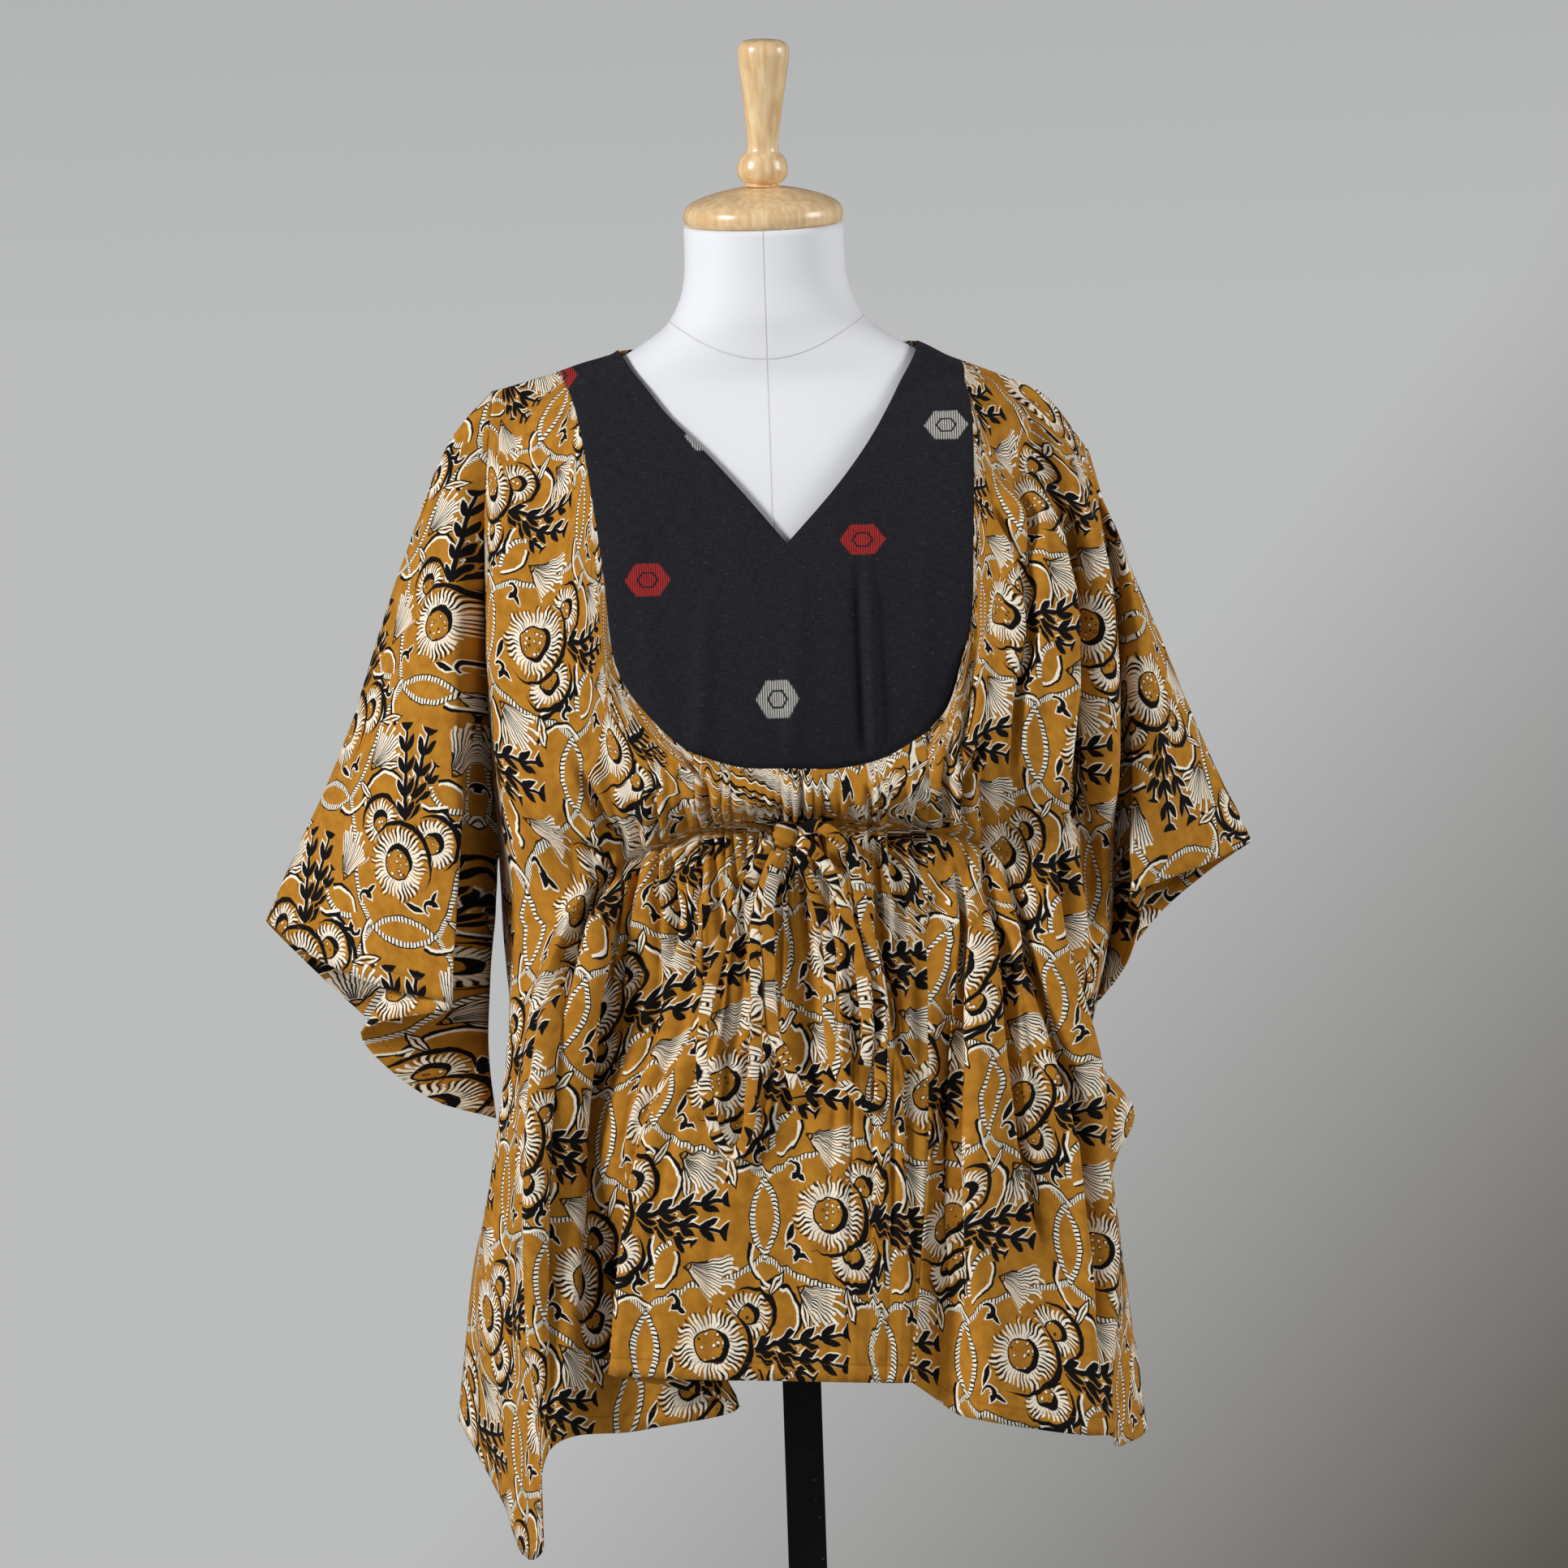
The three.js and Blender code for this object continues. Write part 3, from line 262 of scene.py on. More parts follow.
FORM = (
    Section(742, 150, 92, 104, 0, 2.1),
    Section(800, 168, 106, 117, 0, 2.15),
    Section(860, 164, 102, 110, 0, 2.15),
    Section(930, 138, 90, 88, 0, 2.15),
    Section(1000, 119, 84, 72, 0, 2.15),
    Section(1060, 126, 98, 76, 0, 2.2),
    Section(1120, 144, 118, 86, 0, 2.3),
    Section(1180, 156, 124, 96, 0, 2.3),
    Section(1240, 168, 112, 102, 0, 2.3),
    Section(1290, 177, 92, 100, 0, 2.25),
    Section(1320, 178, 74, 92, 0, 2.2),
    Section(1340, 162, 64, 78, 0, 2.15),
    Section(1356, 141, 58, 68, -1, 2.1),
    Section(1371, 112, 57, 60, -3, 2.05),
    Section(1384, 89, 56, 57, -5, 2),
    Section(1398, 70, 57, 55, -6, 2),
    Section(1424, 58, 55, 54, -7, 2),
    Section(1466, 56, 55, 55, -8, 2),
)
CAP_PROFILE = ((0, 0.3), (53, 0.3), (55.5, 3), (56, 8), (54, 13), (46, 18), (30, 23), (14, 26), (0, 26))
FINIAL_PROFILE = ((0, 26.3), (12, 26.3), (12.5, 27), (11, 28), (14.5, 30), (17.4, 34.5), (17.8, 39),
    (15.5, 46.5), (11.5, 51), (10.8, 55), (11.6, 64), (13.4, 80), (15.6, 98), (17.4, 112), (18, 120),
    (16.6, 125.5), (12, 128.4), (0, 129.2))
BODY_SIDE = ("front_right", "back")
SWELLS = (
    Swell((216, -30, 838), 30.0, (29, -4, 0)),
    Swell((236, 20, 836), 26.0, (8, 0, 0)),
    Swell((220, -8, 965), 30.0, (7.5, 0, 0), BODY_SIDE),
    Swell((212, -8, 918), 30.0, (8.5, 0, 0), BODY_SIDE),
    Swell((230, -6, 965), 30.0, (-5, 0, 0), ("sleeve_right",)),
    Swell((220, -4, 918), 30.0, (-5, 0, 0), ("sleeve_right",)),
)
UNDERARM_ROW = sum(STEPS[:UNDERARM])

# ---- curves and the dress form's rule ------------------------------------------------------------------


def bend(points: np.ndarray, at: np.ndarray, kinks: Sequence[int] = ()) -> np.ndarray:
    """Runs a centripetal Catmull-Rom curve through rows of points.

    Args:
        points: an array of (count, batch, 3).
        at: parameters from 0 to count - 1.
        kinks: the points where the curve may turn sharply.

    Returns:
        An array of (len(at), batch, 3).
    """
    last = len(points) - 1
    i = np.minimum(np.floor(at).astype(int), last - 1)
    t = (at - i)[:, None, None]
    b, c = points[i], points[i + 1]
    shut_a = np.isin(i, [0, *kinks])[:, None, None]
    shut_d = np.isin(i + 1, [last, *kinks])[:, None, None]
    a = np.where(shut_a, 2 * b - c, points[np.maximum(i - 1, 0)])
    d = np.where(shut_d, 2 * c - b, points[np.minimum(i + 2, last)])

    def reach(p: np.ndarray, q: np.ndarray) -> np.ndarray:
        """The square root of the distance from p to q."""
        return np.sqrt(np.maximum(np.linalg.norm(q - p, axis=2, keepdims=True), 1e-9))

    k0, k1, k2 = reach(a, b), reach(b, c), reach(c, d)
    m1 = ((b - a) / k0 - (c - a) / (k0 + k1) + (c - b) / k1) * k1
    m2 = ((c - b) / k1 - (d - b) / (k1 + k2) + (d - c) / k2) * k1
    t2, t3 = t * t, t * t * t
    return b * (2 * t3 - 3 * t2 + 1) + m1 * (t3 - 2 * t2 + t) + c * (3 * t2 - 2 * t3) + m2 * (t3 - t2)


def curve(points: Sequence[Sequence[float]], at: np.ndarray) -> np.ndarray:
    """One Catmull-Rom curve through plain points, as an array of (len(at), 3)."""
    return bend(np.array(points, float)[:, None, :], at)[:, 0]


def stops(steps: Sequence[int], finer: int) -> np.ndarray:
    """Parameters from station to station, each facet cut into finer parts."""
    out = [0.0]
    for i, n in enumerate(steps):
        out.extend(i + (k + 1) / (n * finer) for k in range(n * finer))
    return np.array(out)


def lengths(points: np.ndarray, axis: int) -> np.ndarray:
    """The distance along that axis of a (wide, tall, 3) grid, from each line's first point."""
    legs = np.linalg.norm(np.diff(points, axis=axis), axis=2)
    start = np.zeros_like(np.take(legs, [0], axis=axis))
    return np.concatenate([start, np.cumsum(legs, axis=axis)], axis=axis)


def section_at(z: np.ndarray) -> tuple[np.ndarray, ...]:
    """The form's half width, front depth, back depth, middle and squareness at each height."""
    heights = np.array([s.z for s in FORM])
    table = np.array([(s.w, s.front, s.back, s.y, s.power) for s in FORM])
    last = len(FORM) - 1
    i = np.clip(np.searchsorted(heights, z, side="left") - 1, 0, last - 1)
    span = heights[i + 1] - heights[i]
    t = np.clip((z - heights[i]) / span, 0, 1)[..., None]

    def slope(k: np.ndarray) -> np.ndarray:
        """The table's slope at row k, by its two neighbours."""
        low, high = np.clip(k - 1, 0, last), np.clip(k + 1, 0, last)
        gap = np.where(high == low, 1, heights[high] - heights[low])
        return (table[high] - table[low]) / gap[..., None]

    t2, t3, wide = t * t, t * t * t, span[..., None]
    out = table[i] * (2 * t3 - 3 * t2 + 1) + slope(i) * wide * (t3 - 2 * t2 + t)
    out = out + table[i + 1] * (3 * t2 - 2 * t3) + slope(i + 1) * wide * (t3 - t2)
    return tuple(out[..., k] for k in range(5))


def form_radius(p: np.ndarray) -> np.ndarray:
    """How far out each point lies, with 1 on the form's surface."""
    w, front, back, middle, power = section_at(p[..., 2])
    y = p[..., 1] - middle
    depth = np.where(y < 0, front, back)
    total = (np.abs(p[..., 0]) / w) ** power + (np.abs(y) / depth) ** power
    return np.maximum(total, 1e-9) ** (1 / power)


def clear_of_form(points: np.ndarray, distance: float, rounds: int = 8) -> np.ndarray:
    """Moves points straight out of the form until they lie at least that far from it."""
    p = points.copy()
    for _ in range(rounds):
        r = form_radius(p)
        grad = np.zeros_like(p)
        for k in range(3):
            step = np.zeros(3)
            step[k] = 0.5
            grad[..., k] = form_radius(p + step) - form_radius(p - step)
        steep = np.maximum(np.linalg.norm(grad, axis=-1), 1e-6)
        gap = (r - 1) / steep
        short = (gap < distance) & (r < 1.4) & (p[..., 2] > FORM_BOTTOM - 30)
        push = np.where(short, (distance - gap) * 0.9, 0)
        p = p + grad / steep[..., None] * push[..., None]
    return p


# Large odd numbers that scatter the corners of the noise's cells, and the seed with them.
SCATTER = (73856093, 19349663, 83492791)
SEED_SCATTER = 2654435761
MIXER = 1274126177


def noise(p: np.ndarray, seed: int) -> np.ndarray:
    """Smooth seeded noise from -1 to 1 at points given in units of its own grain."""
    cell = np.floor(p).astype(np.int64)
    t = p - cell
    t = t * t * t * (t * (t * 6 - 15) + 10)
    total = np.zeros(p.shape[:-1])
    for corner in range(8):
        shift = np.array([corner & 1, (corner >> 1) & 1, (corner >> 2) & 1])
        c = cell + shift
        h = (c[..., 0] * SCATTER[0]) ^ (c[..., 1] * SCATTER[1]) ^ (c[..., 2] * SCATTER[2])
        h = h ^ (seed * SEED_SCATTER)
        h = (h ^ (h >> 13)) * MIXER & 0x7FFFFFFF
        value = (h % 65536) / 32767.5 - 1
        weight = np.where(shift, t, 1 - t).prod(axis=-1)
        total += value * weight
    return total


def grid_normals(grid: np.ndarray) -> np.ndarray:
    """Unit normals of a (wide, tall, 3) grid, pointing out of the garment."""
    across = np.concatenate([grid[1:2] - grid[:1], grid[2:] - grid[:-2], grid[-1:] - grid[-2:-1]])
    down = np.concatenate(
        [grid[:, 1:2] - grid[:, :1], grid[:, 2:] - grid[:, :-2], grid[:, -1:] - grid[:, -2:-1]], axis=1
    )
    n = np.cross(down, across)
    return n / np.maximum(np.linalg.norm(n, axis=2, keepdims=True), 1e-9)


# ---- meshes ---------------------------------------------------------------------------------------------


def add_mesh(
    name: str,
    points: np.ndarray,
    faces: np.ndarray | list[list[int]],
    material: bpy.types.Material,
    layers: dict[str, np.ndarray] | None = None,
) -> bpy.types.Object:
    """Adds one smooth mesh object.

    Args:
        name: the object's name.
        points: vertices in millimetres.
        faces: the vertices round each face.
        material: the finish.
        layers: UV layers by name, with one pair in metres for each vertex.

    Returns:
        The new object, linked to the scene.
    """
    mesh = bpy.data.meshes.new(name)
    mesh.from_pydata((points * MM).tolist(), [], faces.tolist() if isinstance(faces, np.ndarray) else faces)
    corner = np.empty(len(mesh.loops), np.int32)
    mesh.loops.foreach_get("vertex_index", corner)
    for layer, pairs in (layers or {}).items():
        uv = mesh.uv_layers.new(name=layer)
        uv.data.foreach_set("uv", pairs[corner].astype(np.float32).ravel())
    mesh.polygons.foreach_set("use_smooth", np.ones(len(mesh.polygons), bool))
    mesh.materials.append(material)
    mesh.update()
    piece = bpy.data.objects.new(name, mesh)
    bpy.context.scene.collection.objects.link(piece)
    return piece


def grid_faces(wide: int, tall: int, ring: bool = False) -> np.ndarray:
    """Quads of a grid whose vertex (i, j) is number i * tall + j, closed round in i if it is a ring."""
    i, j = np.meshgrid(np.arange(wide if ring else wide - 1), np.arange(tall - 1), indexing="ij")
    k = (i + 1) % wide
    a, b, c, d = i * tall + j, i * tall + j + 1, k * tall + j + 1, k * tall + j
    return np.stack([a, b, c, d], axis=-1).reshape(-1, 4)


def seat(piece: bpy.types.Object, nodes: Iterable[str]) -> None:
    """Puts a finished piece on the part's one body and hides the nodes that it stands in for."""
    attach(piece, "root")
    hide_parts(*nodes)


# ---- the arithmetic that finishes are written in --------------------------------------------------------

Number = "Wire | float"


class Wire:
    """One number running through a node tree, with arithmetic that adds the nodes it needs."""

    def __init__(self, tree: bpy.types.NodeTree, socket: bpy.types.NodeSocket) -> None:
        """Holds the tree and the socket that the number comes from."""
        self.tree = tree
        self.socket = socket

    def math(self, operation: str, *others: Number, clamp: bool = False) -> "Wire":
        """Adds one math node whose first input is this number, and returns its result."""
        node = self.tree.nodes.new("ShaderNodeMath")
        node.operation = operation
        node.use_clamp = clamp
        for slot, value in zip(node.inputs, (self, *others)):
            feed(self.tree, value, slot)
        return Wire(self.tree, node.outputs[0])

    def __add__(self, other: Number) -> "Wire":
        """The sum."""
        return self.math("ADD", other)

    def __sub__(self, other: Number) -> "Wire":
        """The difference."""
        return self.math("SUBTRACT", other)

    def __mul__(self, other: Number) -> "Wire":
        """The product."""
        return self.math("MULTIPLY", other)

    def __truediv__(self, other: Number) -> "Wire":
        """The quotient."""
        return self.math("DIVIDE", other)

    def times_plus(self, factor: Number, extra: Number, clamp: bool = False) -> "Wire":
        """This number times a factor, plus an extra."""
        return self.math("MULTIPLY_ADD", factor, extra, clamp=clamp)

    def size(self) -> "Wire":
        """The absolute value."""
        return self.math("ABSOLUTE")

    def at_most(self, other: Number) -> "Wire":
        """The lesser of the two."""
        return self.math("MINIMUM", other)

    def at_least(self, other: Number) -> "Wire":
        """The greater of the two."""
        return self.math("MAXIMUM", other)

    def below(self, limit: Number, soft: float = 0.45) -> "Wire":
        """1 where the number is below the limit and 0 above it, over a soft edge of that many units."""
        return (self - limit).times_plus(-1 / soft, 0.5, clamp=True)

    def above(self, limit: Number, soft: float = 0.45) -> "Wire":
        """1 where the number is above the limit and 0 below it, over a soft edge."""
        return (self - limit).times_plus(1 / soft, 0.5, clamp=True)

    def hashed(self, seed: float) -> "Wire":
        """A random number from 0 to 1 that stays the same for the same whole number."""
        node = self.tree.nodes.new("ShaderNodeTexWhiteNoise")
        node.noise_dimensions = "1D"
        self.tree.links.new((self + seed).socket, node.inputs["W"])
        return Wire(self.tree, node.outputs["Value"])


def feed(tree: bpy.types.NodeTree, value: object, slot: bpy.types.NodeSocket) -> None:
    """Links a number or another node's output to a socket, or sets the socket to a plain value."""
    source = value.socket if isinstance(value, Wire) else value
    if isinstance(source, bpy.types.NodeSocket):
        tree.links.new(source, slot)
    else:
        slot.default_value = source


def radius_of(x: Wire, y: Wire) -> Wire:
    """The distance from the middle."""
    return x.times_plus(x, y * y).math("SQRT")


def turned(x: Wire, y: Wire, degrees: float) -> tuple[Wire, Wire]:
    """The place in axes turned anticlockwise by that angle."""
    c, s = math.cos(math.radians(degrees)), math.sin(math.radians(degrees))
    return x.times_plus(c, y * s), y.times_plus(c, x * -s)


class Inks:
    """The cream resist and the black ink laid over the dyed ground so far."""

    def __init__(self, cream: Wire, black: Wire) -> None:
        """Starts with the two inks' amounts, from 0 to 1."""
        self.cream = cream
        self.black = black

    def cover(self, area: Wire, cream: Wire, black: Wire) -> None:
        """Wipes an area of the cloth and prints it with these amounts."""
        self.cream = (cream - self.cream).times_plus(area, self.cream)
        self.black = (black - self.black).times_plus(area, self.black)

    def lay(self, cream: Wire | None = None, black: Wire | None = None) -> None:
        """Prints over what is there."""
        if cream is not None:
            self.cream = self.cream.at_least(cream)
        if black is not None:
            self.black = self.black.at_least(black)


@dataclass(frozen=True)
class Place:
    """Where a motif sits in the repeat, in millimetres and degrees."""

    x: float
    y: float
    turn: float = 0.0


@dataclass(frozen=True)
class Repeat:
    """The block's repeat: the spacing across and down, and how far each next column drops."""

    across: float = 84.0
    down: float = 182.0
    drop: float = 91.0

    def local(self, u: Wire, v: Wire, place: Place) -> tuple[Wire, Wire]:
        """The place on the cloth as seen from the nearest copy of a motif.

        Args:
            u: millimetres across the cloth.
            v: millimetres up the cloth.
            place: where the motif sits in the repeat.

        Returns:
            The motif's own x and y in millimetres.
        """
        across = u - place.x
        x = across.math("WRAP", self.across / 2, -self.across / 2)
        fall = (across - x).times_plus(self.drop / self.across, v - place.y)
        y = fall.math("WRAP", self.down / 2, -self.down / 2)
        return turned(x, y, place.turn) if place.turn else (x, y)


@dataclass(frozen=True)
class Flower:
    """A round seeded flower with a ragged rim of petals and one heavy black edge."""

    place: Place
    radius: float
    disc: float
    rays: int
    seed: float
    edge: float = -25.0

    def print_on(self, inks: Inks, repeat: Repeat, u: Wire, v: Wire, seeds: Wire) -> None:
        """Prints the flower.

        Args:
            inks: the inks so far.
            repeat: the block's repeat.
            u: millimetres across the cloth.
            v: millimetres up the cloth.
            seeds: the distance to the nearest seed dot, in dot spacings.
        """
        x, y = repeat.local(u, v, self.place)
        r = radius_of(x, y)
        ray = y.math("ARCTAN2", x).times_plus(self.rays / math.tau, self.seed)
        ray = ray + (r * 0.55 + self.seed).math("SINE") * 0.18
        number = ray.math("FLOOR")
        off = (ray - number - 0.5).size()
        chance = number.hashed(self.seed)
        other = number.hashed(self.seed + 40)
        out = (r - self.disc) / (self.radius - self.disc)
        pitch = r * (math.tau / self.rays)
        gap = (out - other * 0.5).times_plus(0.44, 0.08).at_least(0.06)
        petal = ((off + gap - 0.5) * pitch).below(0.0)
        rim = chance.times_plus(self.radius * 0.2, self.radius * 0.82)
        petal = petal * r.below(rim) * r.above(self.disc + 0.6)
        line = ((off - 0.5) * pitch).above(-0.7) * out.above(other * 0.55 + 0.05, 0.1)
        line = line * chance.above(0.28, 0.1) * r.below(rim + 0.9)
        c, s = math.cos(math.radians(self.edge)), math.sin(math.radians(self.edge))
        lean = x.times_plus(c, y * s) / (r + 0.01)
        ring = (r - self.disc).size().below(lean.at_least(0.0).times_plus(1.9, 0.6))
        inside = r.below(self.disc)
        dots = seeds.below(0.25, 0.1) * inside
        rings = (seeds - 0.36).size().below(0.05, 0.06) * inside * chance.above(0.3, 0.2)
        area = r.below(self.radius * 1.02)
        inks.cover(area, petal.at_least(dots), line.at_least(ring).at_least(rings))
        edge = r - self.radius * 1.06
        arc = edge.size().below(lean.times_plus(1.8, 0.3)) * lean.above(-0.25, 0.2)
        shade = edge.below(0.0) * lean.above(0.05, 0.2)
        inks.cover(arc.at_least(shade), inks.cream, inks.black.at_least(arc))


@dataclass(frozen=True)
class Fan:
    """A bud that opens as a fan of cream strands out of a small dark cup."""

    place: Place
    length: float
    half_angle: float
    strands: int
    seed: float

    def print_on(self, inks: Inks, repeat: Repeat, u: Wire, v: Wire) -> None:
        """Prints the bud, which opens towards the motif's own +x."""
        x, y = repeat.local(u, v, self.place)
        r = radius_of(x, y)
        half = math.radians(self.half_angle)
        angle = y.math("ARCTAN2", x)
        strand = angle.times_plus(self.strands / (2 * half), (r * 0.22 + self.seed).math("SINE") * 0.18)
        number = strand.math("FLOOR")
        off = (strand - number - 0.5).size()
        chance = number.hashed(self.seed)
        tip = chance.times_plus(self.length * 0.3, self.length * 0.7)
        within = angle.size().below(half, 0.06)
        pitch = r * (2 * half / self.strands)
        cream = ((off - 0.34) * pitch).below(0.0) * r.below(tip) * r.above(5.0, 1.5)
        black = ((off - 0.5) * pitch).above(-0.42) * r.below(tip - 1.5) * r.above(6.5, 1.5)
        black = black * chance.above(0.2, 0.1)
        cup = (r - 5.6).size().below(0.75).at_least((r - 2.2).size().below(0.6))
        area = r.below(tip + 0.8) * within
        inks.cover(area, cream, black.at_least(cup))
        side = (angle.size() - half).size() * r
        inks.lay(black=side.below(0.6) * r.below(self.length * 0.45))


# The beaded rope's half width, the spacing of its bars and its edge line's place, in millimetres.
ROPE_HALF = 1.95
BAR_PITCH = 2.9
ROPE_EDGE = 2.15


def beaded(inks: Inks, off: Wire, run: Wire, within: Wire) -> None:
    """Prints a cream rope with black bars and an edge line.

    Args:
        inks: the inks so far.
        off: millimetres from the rope's middle line, below 0 on its thin side.
        run: millimetres along the rope.
        within: 1 along the rope's length.
    """
    rope = off.size().below(ROPE_HALF) * within
    bars = (run * (1 / BAR_PITCH)).math("FRACT").times_plus(1.0, -0.5).size().below(0.2, 0.12)
    inks.cover(rope, rope, bars)
    inks.lay(black=(off - ROPE_EDGE).size().below(0.42) * within)


@dataclass(frozen=True)
class Lens:
    """Two beaded ropes that cross above and below a pointed oval."""

    place: Place
    half_width: float
    half_height: float

    def print_on(self, inks: Inks, repeat: Repeat, u: Wire, v: Wire) -> None:
        """Prints the ropes."""
        x, y = repeat.local(u, v, self.place)
        share = y * (1 / self.half_height)
        path = share.times_plus(share * -self.half_width, self.half_width)
        beaded(inks, x.size() - path, y, share.size().below(1.12, 0.02))


@dataclass(frozen=True)
class Link:
    """A beaded rope that climbs in a long S from one crossing to the next."""

    place: Place
    half_run: float
    half_rise: float

    def print_on(self, inks: Inks, repeat: Repeat, u: Wire, v: Wire) -> None:
        """Prints the rope."""
        x, y = repeat.local(u, v, self.place)
        share = x * (1 / self.half_run)
        square = share * share
        climb = share * square.times_plus(0.5 * self.half_rise, 0.5 * self.half_rise)
        slope = square.times_plus(1.5 * self.half_rise / self.half_run, 0.5 * self.half_rise / self.half_run)
        steep = slope.times_plus(slope, 1.0).math("SQRT")
        beaded(inks, (y - climb) / steep, x * steep, x.size().below(self.half_run))


@dataclass(frozen=True)
class Rope:
    """A beaded rope that follows part of a circle about its place."""

    place: Place
    radius: float
    half_angle: float

    def print_on(self, inks: Inks, repeat: Repeat, u: Wire, v: Wire) -> None:
        """Prints the rope, with the middle of its run on the motif's own +x."""
        x, y = repeat.local(u, v, self.place)
        r = radius_of(x, y)
        run = y.math("ARCTAN2", x) * self.radius
        beaded(inks, r - self.radius, run, run.size().below(math.radians(self.half_angle) * self.radius))


@dataclass(frozen=True)
class Stem:
    """A black stem or hook along part of a circle, thick at one end, with a cream line beside it."""

    place: Place
    radius: float
    half_angle: float
    thick: float = 1.1
    taper: float = 0.6

    def print_on(self, inks: Inks, repeat: Repeat, u: Wire, v: Wire) -> None:
        """Prints the stem, with the middle of its run on the motif's own +x."""
        x, y = repeat.local(u, v, self.place)
        r = radius_of(x, y)
        half = math.radians(self.half_angle)
        run = y.math("ARCTAN2", x)
        within = (run.size() * self.radius).below(half * self.radius)
        width = run.times_plus(self.taper / half * self.thick, self.thick)
        inks.cover((r - self.radius + 1.3).size().below(width + 0.7) * within, within, within * 0.0)
        inks.lay(black=(r - self.radius).size().below(width) * within)


@dataclass(frozen=True)
class Leaf:
    """A pointed leaf with a cream edge, a black outline and a black rib."""

    place: Place
    half_length: float
    half_width: float
    dark: bool = False

    def print_on(self, inks: Inks, repeat: Repeat, u: Wire, v: Wire) -> None:
        """Prints the leaf, which lies along the motif's own x."""
        x, y = repeat.local(u, v, self.place)
        bow = (self.half_length**2 - self.half_width**2) / (2 * self.half_width)
        edge = radius_of(x, y.size() + bow) - (bow + self.half_width)
        inside = edge.below(0.4)
        rib = y.size().below(0.45) * x.below(self.half_length * 0.6)
        if self.dark:
            inks.cover(edge.below(1.1), edge.above(-0.1), edge.below(-0.1))
            return
        inks.cover(inside, (edge + 1.5).size().below(0.75), edge.above(-0.7).at_least(rib))


@dataclass(frozen=True)
class Sprig:
    """A dark stem with pairs of pointed leaves, each edged in cream."""

    place: Place
    length: float
    pitch: float
    leaf: float

    def print_on(self, inks: Inks, repeat: Repeat, u: Wire, v: Wire) -> None:
        """Prints the sprig, which grows along the motif's own +x and has its middle at the place."""
        along, y = repeat.local(u, v, self.place)
        within = along.size().below(self.length / 2)
        side = y.size()
        step = (along + self.length / 2).math("WRAP", self.pitch, 0.0)
        lx, ly = turned(step - self.pitch * 0.46, side - self.leaf * 0.3, 27.0)
        half, wide = self.leaf / 2, self.leaf * 0.17
        bow = (half**2 - wide**2) / (2 * wide)
        edge = radius_of(lx, ly.size() + bow) - (bow + wide)
        stem = side - along.times_plus(-0.9 / self.length, 1.35)
        solid = edge.at_most(stem)
        pale = solid.above(0.15) * within * y.above(-1.0, 2.0)
        inks.cover(solid.below(1.15) * within, pale, solid.below(0.25) * within)


@dataclass(frozen=True)
class Hook:
    """A black comma with a curled tip, a barb and a cream edge."""

    place: Place
    radius: float

    def print_on(self, inks: Inks, repeat: Repeat, u: Wire, v: Wire) -> None:
        """Prints the hook, whose curl opens towards the motif's own -x."""
        x, y = repeat.local(u, v, self.place)
        r = radius_of(x, y)
        run = y.math("ARCTAN2", x)
        curl = (r - self.radius).size() - run.times_plus(-0.45, 1.35)
        curl = curl.at_least((run.size() - 2.0) * self.radius)
        tail_x, tail_y = turned(x - self.radius * 0.9, y + self.radius * 1.5, -68.0)
        tail = tail_y.size().times_plus(1.0, tail_x.times_plus(tail_x * 0.045, -1.5))
        solid = curl.at_most(tail)
        inks.cover(solid.below(1.0), solid.above(0.1), solid.below(0.15))


# ---- finishes -------------------------------------------------------------------------------------------


def linear(red: int, green: int, blue: int) -> Colour:
    """A screen colour of 0 to 255 as the linear colour a shader takes."""
    values = (c / 255 for c in (red, green, blue))
    return (*(c / 12.92 if c <= 0.04045 else ((c + 0.055) / 1.055) ** 2.4 for c in values), 1.0)


